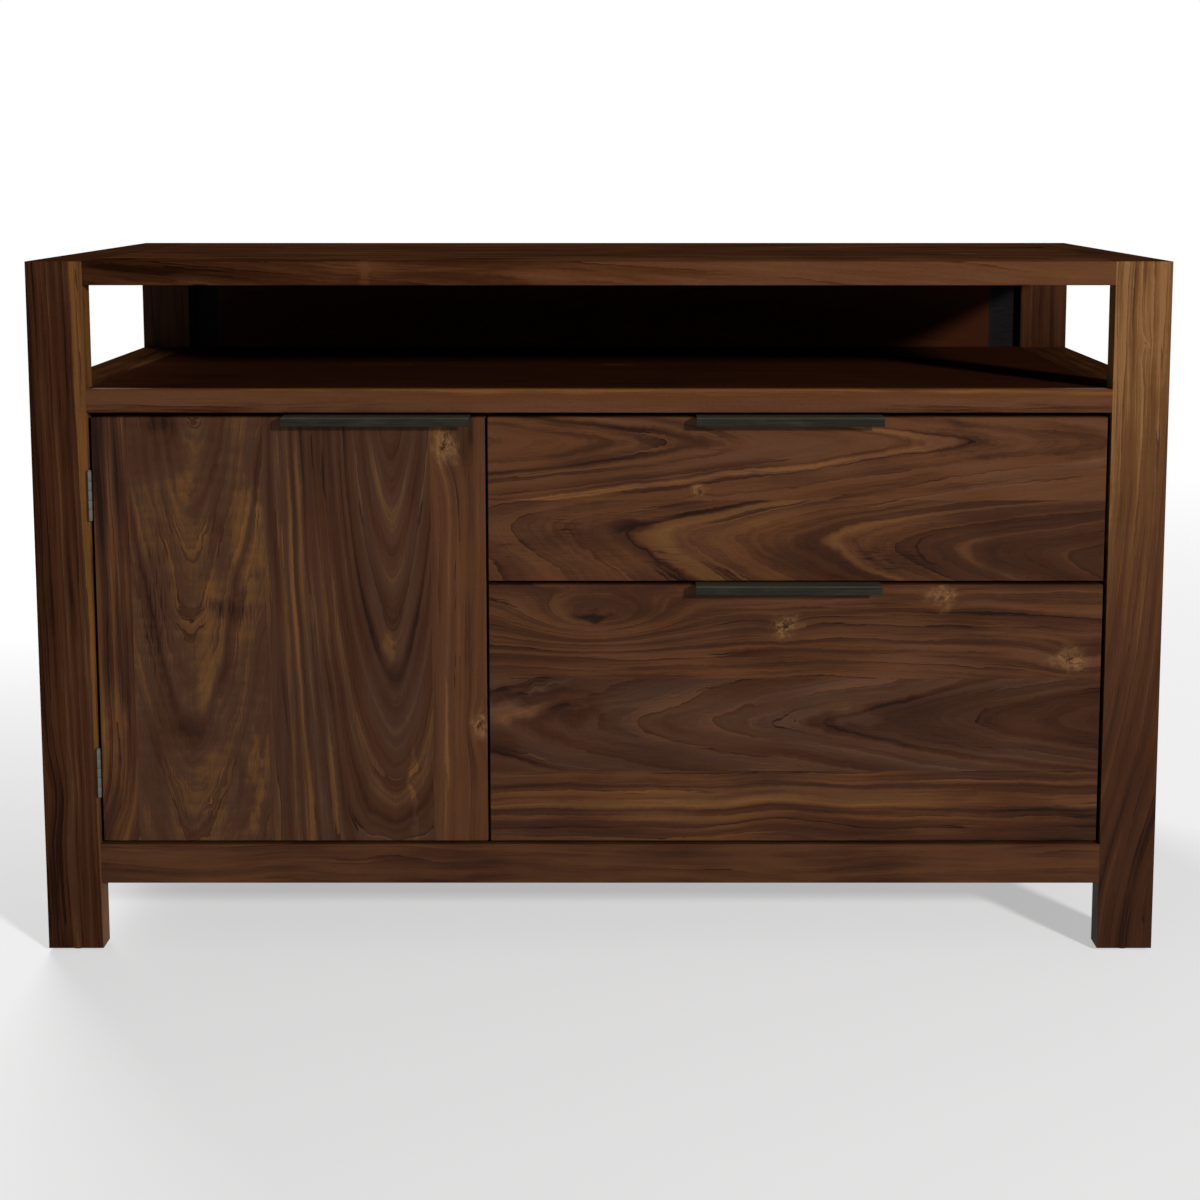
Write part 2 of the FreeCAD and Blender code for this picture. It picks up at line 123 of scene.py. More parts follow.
class CredenzaSizes(bpy.types.PropertyGroup):
    """Small sizes of the timber and metalwork."""
    arris: length("Arris", 0.0011, "Radius of the sanded long edges")
    fine_arris: length("Fine arris", 0.0005, "Radius of the edges of panels and boxes")
    bend: length("Pull bend", 0.0022, "Outer radius of the bends in the pulls")
    flange: length("Pull flange", 0.012, "Height of the pulls behind the fronts")
    lip: length("Pull lip", 0.0095, "Height of the pulls before the fronts")


class CredenzaStudio(bpy.types.PropertyGroup):
    """Camera and lights."""
    eye: position("Eye", (0.0309, -2.246, 0.859), "Place of the camera")
    pitch: bpy.props.FloatProperty(
        name="Pitch", description="How far the camera looks down",
        default=math.radians(6.5), unit="ROTATION")
    lens: amount("Lens", 56.5, "Focal length in millimetres")
    shift_x: amount("Shift X", -0.0234, "Sideways shift of the lens")
    shift_y: amount("Shift Y", -0.18, "Vertical shift of the lens")
    key_place: position("Key place", (3.44, -4.73, 2.35), "Place of the lamp at the front right")
    key_size: length("Key size", 0.5, "Side of the lamp at the front right")
    key_power: amount("Key power", 378.0, "Watts of the lamp at the front right")
    rear_place: position("Rear place", (-1.6, 2.9, 1.9), "Place of the lamp behind")
    rear_size: length("Rear size", 2.0, "Side of the lamp behind")
    rear_power: amount("Rear power", 120.0, "Watts of the lamp behind")
    sky: amount("Sky", 0.15, "Strength of the surrounding light")
    floor: tone("Floor", (0.90, 0.90, 0.90), "Paint of the floor")


class CredenzaSettings(bpy.types.PropertyGroup):
    """Everything that a user would change."""
    walnut: bpy.props.PointerProperty(type=CredenzaWalnut)
    metal: bpy.props.PointerProperty(type=CredenzaMetal)
    maple: bpy.props.PointerProperty(type=CredenzaMaple)
    sizes: bpy.props.PointerProperty(type=CredenzaSizes)
    studio: bpy.props.PointerProperty(type=CredenzaStudio)


def settings():
    return bpy.context.scene.credenza


# ---------------------------------------------------------------- shader maths

def maths(operation, reflected=False):
    """A method that adds the Math node for one operation."""
    def method(self, *others):
        given = (*others, self) if reflected else (self, *others)
        return self.tree.add("Math", {"operation": operation}, dict(enumerate(given)))
    return method


class Value:
    """An output socket that can be used in Python expressions."""

    def __init__(self, tree, socket):
        self.tree = tree
        self.socket = socket

    __add__, __radd__ = maths("ADD"), maths("ADD", reflected=True)
    __sub__, __rsub__ = maths("SUBTRACT"), maths("SUBTRACT", reflected=True)
    __mul__, __rmul__ = maths("MULTIPLY"), maths("MULTIPLY", reflected=True)
    __truediv__, __rtruediv__ = maths("DIVIDE"), maths("DIVIDE", reflected=True)
    __pow__, __rpow__ = maths("POWER"), maths("POWER", reflected=True)
    root, fraction, greater = maths("SQRT"), maths("FRACT"), maths("MAXIMUM")

    def fade(self, low, high):
        """0 at low and 1 at high, eased between."""
        ranges = {"Value": self, "From Min": low, "From Max": high}
        return self.tree.add("MapRange", {"interpolation_type": "SMOOTHSTEP"}, ranges)


class Tree:
    """The nodes of a material or of the world."""

    def __init__(self, owner):
        owner.use_nodes = True
        self.nodes = owner.node_tree.nodes
        self.links = owner.node_tree.links

    def feed(self, node, inputs):
        for key, given in inputs.items():
            key = key.replace("_", " ") if isinstance(key, str) else key
            if isinstance(given, Value):
                self.links.new(given.socket, node.inputs[key])
            else:
                node.inputs[key].default_value = given

    def add(self, kind, options=None, inputs=None, output=0):
        """A node of one kind: its settings are set first, then its sockets."""
        node = self.nodes.new("ShaderNode" + kind)
        for key, given in (options or {}).items():
            if key == "stops":
                self.set_stops(node.color_ramp, given)
            else:
                setattr(node, key, given)
        self.feed(node, inputs or {})
        return Value(self, node.outputs[output])

    def set_stops(self, ramp, stops):
        while len(ramp.elements) < len(stops):
            ramp.elements.new(0.5)
        for element, (place, colour) in zip(ramp.elements, stops):
            element.position = place
            element.color = (*colour, 1.0)

    def seen_white(self):
        """1 for rays that show the backdrop: seen directly, in gloss or through glass."""
        path = self.add("LightPath").socket.node
        camera, glossy, through = [Value(self, path.outputs["Is %s Ray" % kind])
                                   for kind in ("Camera", "Glossy", "Transmission")]
        return camera.greater(glossy).greater(through)


class Finish(Tree):
    """A material under construction. Constants sit on the shader's own sockets."""

    def __init__(self, name, **constants):
        self.material = bpy.data.materials.new(name)
        super().__init__(self.material)
        self.shader = self.nodes["Principled BSDF"]
        self.feed(self.shader, constants)

    def shade(self, **sockets):
        """Feed the shader what varies over the surface. Returns the material."""
        self.feed(self.shader, sockets)
        return self.material

    def place(self):
        """The piece's own coordinates in millimetres, as a vector."""
        return self.dim(self.add("TexCoord", output=3), 1 / MM)

    def split(self, vector):
        node = self.add("SeparateXYZ", inputs={0: vector}).socket.node
        return [Value(self, output) for output in node.outputs]

    def join(self, x, y, z=0.0):
        return self.add("CombineXYZ", inputs={0: x, 1: y, 2: z})

    def vectors(self, operation, *given, output=0):
        options = {"operation": operation}
        return self.add("VectorMath", options, dict(enumerate(given)), output)

    def dim(self, colour, value):
        """A colour or a vector times a value."""
        options = {"operation": "SCALE"}
        return self.add("VectorMath", options, {0: colour, "Scale": value})

    def bell(self, spot, along, across, reach_along, reach_across):
        """1 at a place on a board, falling off like a bell over its reaches."""
        scale = (1.0 / reach_along, 1.0 / reach_across, 0.0)
        shift = (-along / reach_along, -across / reach_across, 0.0)
        away = self.vectors("MULTIPLY_ADD", spot, scale, shift)
        return math.exp(-1.0) ** self.vectors("DOT_PRODUCT", away, away, output=1)

    def wobble(self, spot, place, size):
        """The spot, pushed about so that what is drawn with it gets an uneven outline."""
        cloud = self.noise(place, detail=3.0, roughness=0.6, output=1)
        push = self.vectors("MULTIPLY_ADD", cloud, (size, size, 0.0), (-size / 2, -size / 2, 0.0))
        return self.vectors("ADD", spot, push)

    def noise(self, vector, detail=2.0, roughness=0.5, flat=False, distortion=0.0, output=0):
        options = {"noise_dimensions": "2D" if flat else "3D"}
        inputs = {"Vector": vector, "Scale": 1.0, "Detail": detail,
                  "Roughness": roughness, "Distortion": distortion}
        return self.add("TexNoise", options, inputs, output)

    def ramp(self, value, stops):
        return self.add("ValToRGB", {"stops": stops}, {0: value})

    def mix(self, mask, first, second):
        """Blend of two colours, each a socket or a plain colour."""
        first, second = [c if isinstance(c, Value) else (*c, 1.0) for c in (first, second)]
        return self.add("Mix", {"data_type": "RGBA"}, {0: mask, 6: first, 7: second}, output=2)

    def bump(self, height, distance, strength=1.0):
        inputs = {"Height": height, "Distance": distance, "Strength": strength}
        return self.add("Bump", inputs=inputs)


# ---------------------------------------------------------------- walnut

# What a board is unless it says otherwise. Millimetres, in the credenza's frame.
#   heart, depth  where the tree's heart runs: across the board, and behind its face
#   face          where the seen face lies along the board's thickness
#   taper         how fast the rings close along the grain; its sign turns the arches
#   spread        how far to each side of the heart the arches reach
#   skew          makes the arches steeper on one side of the heart
#   origin        place along the grain where depth is measured
#   lean          how far the rings drift across per millimetre along the grain
#   bands         ring: tone, from 0 dark to 1 pale
#   tones         four colours from dark to pale, then the colour of glints
#   pitch         millimetres from one dark line to the next
#   pushes        (along, across, reach along, reach across, push) where the rings bulge
#   marks         (along, across, reach along, reach across, tone) of pale or dark patches
#   knots         (along, across, size, push) of each pale knot
#   ticks         (along, across, reach along, reach across) of patches of short dark dashes
PLAIN_BOARD = dict(
    heart=0, depth=30, face=0, taper=0.05, spread=150, skew=0, origin=0, lean=0,
    bands={0: 0.5, 100: 0.5}, tones="espresso umber heartwood honey gold", pitch=8, lines=0.4,
    glow=0.15, streaks=1, fine=0.4, fibre=0.3, blotch=0.7, wander=8, ripple=1.4, jitter=1.2,
    curl=0.06, cool=0.5, seed=0, specular=None, pushes=(), marks=(), knots=(), ticks=())
TONE_PLACES = (0.12, 0.36, 0.58, 0.82, 1.0)
COOL_TINT = (0.88, 1.0, 1.30)
# A pale mark stronger than this has a dark rim.
RIMMED = 0.30
RIM_DEPTH = 0.28
DASH_DEPTH = 0.45


def walnut(name, grain, across, **given):
    """Solid walnut whose rings, streaks and pores run through the whole board."""
    board = {**PLAIN_BOARD, **given}
    colours = settings().walnut
    shine = colours.specular if board["specular"] is None else board["specular"]
    made = Finish(name, Specular_IOR_Level=shine)
    axes = made.split(made.place())
    long_axis, side_axis = AXES.index(grain), AXES.index(across)
    u, v = axes[long_axis], axes[side_axis]
    w = axes[3 - long_axis - side_axis] - board["face"]
    seed = board["seed"]

    def stretched(along_scale, across_scale, shift=None):
        """Coordinates of noise that is drawn out along the grain."""
        drawn = u * along_scale
        return made.join(drawn + shift if shift else drawn, v * across_scale, w * across_scale)

    along = u - board["origin"]
    drift = made.noise(stretched(0.004, 0.014, seed), detail=1.0)
    sway = made.noise(stretched(0.015, 0.045, -seed), detail=3.0)
    curl = made.noise(made.join(u * 0.11, v * 0.03 + seed, w * 0.03), detail=1.0)
    off = v - board["heart"] - along * board["lean"] + (drift - 0.5) * board["wander"] * 2
    deep = w * 0.7 + board["depth"]
    reach = off / board["spread"]
    arch = along * board["taper"] / (reach * reach + 1.0)
    ring = (off * off + deep * deep).root() + off * board["skew"] + arch
    ring = ring + (sway - 0.5) * board["ripple"] * 2 + (curl - 0.5) * board["jitter"]

    spot = made.join(u, v)
    loose = made.wobble(spot, stretched(0.035, 0.06, seed), 34.0)
    for *bell, push in board["pushes"]:
        ring = ring + made.bell(spot, *bell) * push
    for knot_u, knot_v, size, push in board["knots"]:
        ring = ring + made.bell(spot, knot_u, knot_v, size * 2.2, size * 1.2) * push

    bands = board["bands"]
    low, high = min(bands), max(bands)
    stops = [((place - low) / (high - low), (grey,) * 3) for place, grey in bands.items()]
    broad = made.ramp((ring - low) / (high - low), stops)

    streak = made.noise(made.join(u * 0.004 + seed, ring * 0.12), 3.0, 0.55, flat=True)
    fine = made.noise(made.join(u * 0.009, ring * 0.7 + seed), 3.0, 0.6, flat=True)
    fibre = made.noise(stretched(0.022, 0.8), detail=3.0, roughness=0.6)
    blotch = made.noise(stretched(0.007, 0.02, seed), detail=3.0)
    order = ring / board["pitch"] + (streak - 0.5) * 1.5
    presence = made.noise(made.join(u * 0.006, order * 0.9 + seed), detail=1.0, flat=True)
    shown = presence.fade(0.40, 0.62)
    line = order.fraction() ** 11 * shown
    glow = (1.0 - order.fraction()) ** 4 * shown

    level = broad + (streak - 0.5) * board["streaks"] + (fine - 0.5) * board["fine"]
    level = level + (fibre - 0.5) * board["fibre"] + (blotch - 0.5) * board["blotch"]
    level = level + (curl - 0.5) * board["curl"] + glow * board["glow"]
    for *bell, change in board["marks"]:
        inside = made.bell(loose, *bell)
        level = level + inside.fade(0.12, 0.80) * change
        if change > RIMMED:
            level = level - (inside.fade(0.16, 0.26) - inside.fade(0.30, 0.42)) * RIM_DEPTH
    if board["ticks"]:
        dash = made.noise(made.join(u * 0.035 + seed, v * 0.42), detail=1.0).fade(0.54, 0.66)
        for bell in board["ticks"]:
            level = level - made.bell(spot, *bell) * dash * DASH_DEPTH
    level = level - line * board["lines"]

    tones = [getattr(colours, key) for key in board["tones"].split()]
    colour = made.ramp(level, [(0.0, colours.ink)] + list(zip(TONE_PLACES, tones)))
    cast = made.noise(made.join(u * 0.004, ring * 0.035 - seed), flat=True)
    cooled = made.vectors("MULTIPLY", colour, COOL_TINT)
    colour = made.mix(cast.fade(0.42, 0.62) * board["cool"], colour, cooled)
    if board["knots"]:
        colour = knot_wood(made, colour, board["knots"], loose, spot)

    pore = made.noise(stretched(0.20, 2.8), detail=1.0).fade(0.60, 0.74)
    height = fibre * 0.6 - pore * 0.7 - line * 0.4
    return made.shade(Base_Color=made.dim(colour, 1.0 - pore * 0.35),
                      Roughness=0.50 + pore * 0.16 - (level - 0.5) * 0.08,
                      Normal=made.bump(height, 0.00012, 0.7))


def knot_wood(made, colour, knots, loose, spot):
    """Pale curly wood round each knot, with dark specks at its centre."""
    colours = settings().walnut
    curly = made.noise(made.dim(loose, 0.14), detail=3.0, distortion=1.2)
    for knot_u, knot_v, size, _ in knots:
        around = made.bell(loose, knot_u, knot_v, size * 1.5, size)
        pale = around.fade(0.10, 0.95) * curly.fade(0.28, 0.70) * 0.75
        colour = made.mix(pale, colour, colours.straw)
        centre = made.bell(spot, knot_u, knot_v, size * 0.38, size * 0.25)
        dark = centre.fade(0.15, 0.80) * curly.fade(0.66, 0.44) * 0.8
        colour = made.mix(dark, colour, colours.ink)
    return colour


# ---------------------------------------------------------------- other finishes

def grain_axes(made, grain):
    """Coordinates along the grain and across it, in millimetres."""
    axes = made.split(made.place())
    u = axes.pop(AXES.index(grain))
    return u, *axes


def maple(name, grain, seed=0.0, layers=False):
    """Lacquered maple: faint rings, short flecks and a soft gloss."""
    colours = settings().maple
    made = Finish(name, Specular_IOR_Level=0.4, Coat_Weight=0.15, Coat_Roughness=0.25)
    u, v, w = grain_axes(made, grain)
    sway = made.noise(made.join(u * 0.006 + seed, v * 0.03, w * 0.03))
    ring = v * 0.10 + w * 0.23 + sway * 9.0 + u * 0.002
    band = (ring.fraction() - 0.5) * 0.5 + 0.25
    fleck = made.noise(made.join(u * 0.25, v * 2.2 + seed, w * 2.2)).fade(0.58, 0.74)
    haze = made.noise(made.join(u * 0.012, v * 0.05, w * 0.05 + seed))
    level = band * 0.5 + (haze - 0.4) * 1.2 + fleck * 0.45
    colour = made.mix(level.fade(0.0, 1.2), colours.pale, colours.deep)
    if layers:
        edge = (w * 0.9).fraction()
        colour = made.dim(colour, 0.90 + edge.fade(0.2, 0.4) * 0.10)
    height = fleck * -0.6 + ring.fraction() * 0.2
    return made.shade(Base_Color=colour, Roughness=0.38 + fleck * 0.12 + (haze - 0.5) * 0.1,
                      Normal=made.bump(height, 0.00006, 0.6))


def brushed(name, colour, along, roughness=0.34, streak=0.12):
    """Bright metal with fine lines along one axis and a few handling marks."""
    made = Finish(name, Metallic=1.0)
    u, v, w = grain_axes(made, along)
    lines = made.noise(made.join(u * 0.08, v * 9.0, w * 9.0), detail=3.0)
    cloud = made.noise(made.place(), detail=3.0)
    smear = made.noise(made.join(u * 0.05, v * 0.08, w * 0.08), detail=3.0)
    shade = 1.0 - streak * 0.5 + (lines - 0.5) * streak + (smear - 0.5) * 0.25
    colour = made.mix(cloud * 0.15, colour, (0.5, 0.5, 0.48))
    return made.shade(Base_Color=made.dim(colour, shade), Normal=made.bump(lines, 0.00003, 0.5),
                      Roughness=roughness + (lines - 0.5) * 0.16 + (smear - 0.5) * 0.16)


def plated(name):
    """Zinc plate: cloudy spangle and a soft shine."""
    made = Finish(name, Metallic=1.0)
    place = made.place()
    spangle = made.noise(made.dim(place, 0.35), detail=4.0)
    fine = made.noise(made.dim(place, 3.0))
    shade = 0.86 + (spangle - 0.5) * 0.5 + (fine - 0.5) * 0.12
    colour = made.mix(spangle.fade(0.4, 0.7) * 0.25, settings().metal.zinc, (0.62, 0.60, 0.52))
    return made.shade(Base_Color=made.dim(colour, shade), Normal=made.bump(fine, 0.00002, 0.4),
                      Roughness=0.30 + (spangle - 0.5) * 0.25 + (fine - 0.5) * 0.1)


def blackened(name, colour, worn_and_highlight):
    """Black oxide under wax: clouded, with lengthwise scuffs and small pits."""
    made = Finish(name, Metallic=0.1, Specular_IOR_Level=0.12)
    place = made.place()
    x, y, z = made.split(place)
    cloud = made.noise(made.join(x * 0.030, y * 0.1, z * 0.1), detail=4.0, roughness=0.6)
    drawn = made.noise(made.join(x * 0.012, y * 1.1, z * 1.1), detail=3.0, roughness=0.6)
    mottle = made.noise(made.dim(place, 0.55), detail=3.0)
    scuffs = made.noise(made.join(x * 0.10, y * 2.4, z * 2.4))
    pits = made.noise(made.dim(place, 2.6), detail=1.0)
    pale = (cloud.fade(0.42, 0.75) * 0.40 + scuffs.fade(0.60, 0.78) * 0.25
            + drawn.fade(0.46, 0.70) * 0.45)
    colour = made.dim(made.mix(pale, colour, worn_and_highlight), 0.9 + (mottle - 0.5) * 0.5)
    height = pits * 0.4 + mottle * 0.3 + drawn * 0.3
    return made.shade(Base_Color=colour, Roughness=0.50 - pale * 0.16 + (pits - 0.5) * 0.2,
                      Normal=made.bump(height, 0.00006, 0.5))


def moulded(name, colour, roughness=0.45, specular=0.4):
    """Moulded plastic with a fine spark-eroded grain."""
    made = Finish(name, Specular_IOR_Level=specular)
    grain = made.noise(made.dim(made.place(), 4.0))
    haze = made.noise(made.dim(made.place(), 0.12))
    return made.shade(Base_Color=made.dim(colour, 0.85 + haze * 0.3),
                      Roughness=roughness + (haze - 0.5) * 0.2 + (grain - 0.5) * 0.1,
                      Normal=made.bump(grain, 0.00005, 0.5))


def ferrite(name):
    """Bare ferrite: dark grey, granular and dull."""
    made = Finish(name, Metallic=0.4)
    grain = made.noise(made.dim(made.place(), 6.0), detail=3.0)
    colour = made.mix(grain.fade(0.35, 0.7), (0.06, 0.06, 0.065), (0.16, 0.16, 0.17))
    return made.shade(Base_Color=colour, Roughness=0.55 + (grain - 0.5) * 0.3,
                      Normal=made.bump(grain, 0.00008, 0.8))


# ---------------------------------------------------------------- boards

# Tones of a board from dark to pale, then of its glints. See CredenzaWalnut.
RED_GOLD = "espresso umber russet honey gold"
GREY_GOLD = "espresso umber drab honey gold"
RED_ROSE = "espresso umber russet rosy gold"
# The rear legs' tones are darker as painted shade: they stand in the shade of the open bay.
REAR_PAINTED_SHADE = "ink espresso umber heartwood russet"
DARK = "ink espresso umber heartwood honey"
# These bay tone sets are painted shade: the walnut inside the open bay is drawn darker and redder than
# the same walnut outside it.
BAY_PAINTED_SHADE_TONES = "ink maroon maroon umber russet"
BAY_BACK_PAINTED_SHADE_TONES = "ink maroon maroon umber heartwood"

DOOR_BOARDS = (
    dict(to=-506.5, heart=-640, taper=0.03, origin=125, seed=1.3, tones=RED_GOLD, pitch=7,
         lines=0.55, wander=5, streaks=1.2, fine=0.6,
         bands={95: 0.3, 104: 0.46, 112: 0.18, 122: 0.4, 128: 0.24, 140: 0.36},
         pushes=((110, -560, 60, 60, 26),), marks=((250, -528, 55, 11, 0.22),)),
    dict(to=-361.8, heart=-440, depth=14, taper=-0.25, spread=110, origin=380, seed=2.1,
         tones=GREY_GOLD, pitch=19, lines=0.42, cool=0.3, wander=16, ripple=6, jitter=3.4,
         curl=0.26, streaks=0.5, fine=0.3, blotch=0.8,
         bands={-60: 0.6, -48: 0.6, -43: 0.38, -38: 0.58, -20: 0.58, -13: 0.34, -8: 0.58, 34: 0.6,
                41: 0.56, 46: 0.2, 53: 0.5, 72: 0.6, 100: 0.6},
         marks=((580, -430, 70, 90, -0.05), (590, -470, 16, 20, -0.3), (560, -490, 40, 22, -0.12),
                (510, -452, 26, 14, 0.16), (455, -380, 72, 19, 0.24), (386, -405, 13, 24, -0.2),
                (300, -428, 58, 12, 0.12), (250, -440, 20, 40, -0.12), (455, -416, 40, 9, -0.18),
                (190, -392, 30, 6, -0.16), (190, -378, 80, 5, 0.18)),
         ticks=((385, -400, 14, 30), (390, -480, 90, 14))),
    dict(to=-182.2, heart=-224, depth=12, taper=-0.24, spread=46, origin=380, seed=3.7,
         tones=GREY_GOLD, pitch=15, lines=0.45, cool=0.6, wander=5, ripple=1.6, streaks=0.9,
         blotch=0.4,
         bands={-50: 0.44, -10: 0.48, -6: 0.46, -2: 0.22, 4: 0.5, 24: 0.48, 30: 0.2, 34: 0.5,
                38: 0.26, 44: 0.52, 52: 0.24, 58: 0.48, 63: 0.46, 68: 0.26, 73: 0.58, 78: 0.26,
                84: 0.62, 89: 0.28, 95: 0.68, 101: 0.3, 106: 0.74, 112: 0.4, 118: 0.72, 125: 0.32,
                134: 0.54},
         marks=((338, -230, 26, 8, 0.2), (560, -330, 130, 40, -0.08), (180, -204, 60, 4, 0.24))),
    dict(heart=-60, taper=0.01, origin=360, seed=4.4, tones="espresso heartwood russet rosy gold",
         pitch=11, lines=0.42, cool=0.4, wander=9, ripple=2.4, streaks=0.8,
         bands={60: 0.42, 76: 0.54, 82: 0.3, 95: 0.52, 105: 0.46, 109: 0.9, 113: 0.44, 130: 0.4},
         knots=((563, -168, 15, -12), (255, -131, 13, -10))),
)

UPPER_FRONT_BOARDS = (
    dict(to=504.7, heart=475, depth=12, taper=-0.32, spread=170, skew=0.45, origin=50, lean=-0.05,
         seed=5.2, tones=RED_GOLD, pitch=19, lines=0.45, cool=0.4, wander=12, ripple=4.5,
         jitter=3.6, streaks=0.6, fine=0.3,
         bands={-160: 0.44, -108: 0.4, -102: 0.5, -98: 0.62, -94: 0.32, -66: 0.44, -59: 0.48,
                -54: 0.72, -50: 0.3, -26: 0.52, -20: 0.58, 0: 0.52, 6: 0.86, 13: 0.76, 18: 0.14,
                24: 0.5, 60: 0.54},
         marks=((34, 474, 28, 9, -0.34), (490, 450, 130, 60, -0.12), (212, 445, 28, 22, -0.16),
                (150, 450, 600, 200, -0.05)),
         ticks=((-40, 473, 14, 14), (70, 440, 16, 15), (310, 440, 32, 14), (-95, 450, 14, 12))),
    dict(heart=568, depth=8, taper=0.13, spread=220, seed=6.6, tones=RED_ROSE, pitch=15, lines=0.45,
         cool=0.4, ripple=3.4, jitter=3, streaks=0.7, fine=0.3,
         bands={-10: 0.5, 5: 0.6, 9: 0.32, 12: 0.6, 18: 0.58, 21: 0.18, 25: 0.6, 48: 0.56, 51: 0.42,
                54: 0.96, 57: 0.94, 60: 0.36, 64: 0.6, 77: 0.54, 100: 0.64},
         knots=((108, 514, 6, 4),), marks=((60, 568, 26, 6, -0.24), (385, 568, 52, 18, -0.26))),
)

LOWER_FRONT_BOARDS = (
    dict(to=204.2, heart=330, taper=0, origin=188, seed=7.9, tones=RED_GOLD, pitch=12, lines=0.48,
         wander=9, ripple=3.4, jitter=2, streaks=0.8, fine=0.3,
         bands={128: 0.48, 140: 0.42, 145: 0.64, 149: 0.24, 154: 0.56, 162: 0.6, 165: 0.78,
                169: 0.72, 173: 0.28, 182: 0.58, 190: 0.32, 205: 0.48},
         pushes=((190, 170, 55, 60, 8),), marks=((520, 170, 130, 60, -0.18),)),
    dict(to=307.9, heart=262, depth=12, taper=-0.19, spread=110, origin=245, seed=8.5,
         tones="espresso umber drab rosy gold", pitch=19, lines=0.42, cool=0.7, wander=14, ripple=5,
         jitter=3.5, streaks=0.7, fine=0.3,
         bands={-50: 0.3, -30: 0.38, -24: 0.3, -18: 0.38, 3: 0.32, 8: 0.5, 12: 0.16, 18: 0.52,
                30: 0.55, 50: 0.5, 62: 0.56, 78: 0.5, 100: 0.5},
         marks=((-104, 272, 52, 12, 0.28), (-32, 268, 34, 13, -0.3), (-70, 290, 60, 6, -0.22),
                (20, 262, 200, 200, -0.06), (280, 264, 30, 11, 0.26), (-110, 235, 30, 16, -0.2),
                (420, 240, 150, 60, -0.06))),
    dict(heart=250, depth=10, taper=0.01, seed=9.4, tones=RED_ROSE, pitch=14, lines=0.5, cool=0.4,
         wander=10, ripple=3, jitter=2.5, streaks=0.8, fine=0.3,
         bands={56: 0.4, 66: 0.47, 84: 0.4, 90: 0.53, 94: 0.3, 100: 0.48, 124: 0.43, 128: 0.26,
                134: 0.47, 170: 0.4, 178: 0.32},
         pushes=((-5, 374, 85, 26, 48), (330, 335, 170, 50, -9)),
         knots=((202, 365, 11, 9), (370.5, 397, 11, 6), (512, 328, 15, 9)),
         marks=((-8, 377, 22, 6, -0.45),)),
)

FRAME_BOARDS = {
    "front_left_leg": dict(heart=-720, depth=34, taper=0.004, origin=380, lean=-0.02, seed=11.1,
        tones=GREY_GOLD, pitch=7, cool=0, specular=0.03, wander=3, ripple=0.8, jitter=0.5,
        streaks=0.9, fine=0.5, blotch=0.3,
        bands={110: 0.02, 126: 0.05, 130: 0.2, 132: 0.06, 136: 0.34, 142: 0.4, 144: 0.16, 146: 0.38,
               151: 0.14, 154: 0.34, 160: 0.2, 163: 0.46, 166: 0.3, 168: 0.8, 176: 0.86},
        pushes=((178, -594, 38, 24, -6),), marks=((160, -580, 300, 400, 0.1),)),
    "front_right_leg": dict(heart=690, depth=40, taper=0, origin=420, lean=0.16, seed=12.4,
        tones="espresso umber heartwood honey sand", pitch=9, lines=0.3, cool=0.2, specular=0.08,
        wander=6, ripple=1, jitter=0.8, streaks=0.45, fine=0.35, blotch=0.3,
        bands={10: 0.5, 22: 0.42, 28: 0.26, 34: 0.5, 44: 0.46, 50: 0.28, 56: 0.52, 70: 0.5, 76: 0.3,
               82: 0.56, 92: 0.44, 100: 0.58, 110: 0.44, 118: 0.6, 126: 0.42, 134: 0.56, 160: 0.58},
        pushes=((900, 580, 330, 4000, -62), (60, 560, 130, 4000, -16)), knots=((675, 583, 5, 4),),
        marks=((820, 580, 330, 400, 0.3), (-60, 580, 380, 400, -0.3), (420, 580, 420, 400, 0.08))),
    # Rear legs: darker tones as painted shade of the bay.
    "rear_left_leg": dict(heart=-640, depth=60, taper=0.03, seed=13.2, tones=REAR_PAINTED_SHADE, cool=0.1,
        specular=0.05),
    "rear_right_leg": dict(heart=650, depth=50, taper=-0.03, seed=14.9, tones=REAR_PAINTED_SHADE, cool=0.1,
        specular=0.05),
    "left_top_rail": dict(heart=-660, depth=60, taper=0.02, seed=15.3,
        tones="espresso umber umber heartwood honey", specular=0),
    "right_top_rail": dict(heart=660, depth=60, taper=0.03, seed=16.6,
        tones="espresso umber heartwood drab honey", specular=0),
    "left_shelf_rail": dict(heart=-640, depth=60, taper=0.02, seed=17.1, cool=0.1, specular=0),
    "right_shelf_rail": dict(heart=640, depth=60, taper=0.02, seed=18.8, cool=0.1, specular=0),
    "front_bottom_rail": dict(heart=20, depth=60, taper=0.01, seed=19.5,
        tones="espresso umber heartwood russet honey", pitch=16, lines=0.3, cool=0.1, wander=16,
        blotch=1.2),
    "rear_bottom_rail": dict(heart=20, depth=60, taper=0.02, seed=20.2),
}

TOP_BOARDS = (
    # The first board's two broad marks darken the front edge to the left and pale it to the right:
    # partly the wood's own tone, partly painted light falling from the right.
    dict(to=-120, heart=-190, depth=60, taper=0.04, seed=21.4,
         tones="espresso umber russet rosy honey", cool=0.1,
         marks=((-500, -246, 420, 60, -0.24), (420, -246, 420, 60, 0.26),
                (-247, -246, 5, 60, 0.16))),
    dict(to=40, heart=-60, depth=40, taper=-0.06, seed=22.7, cool=0.2),
    dict(to=160, heart=110, depth=44, seed=23.3, cool=0.2),
    dict(heart=230, depth=52, taper=-0.04, seed=24.8, cool=0.2),
)

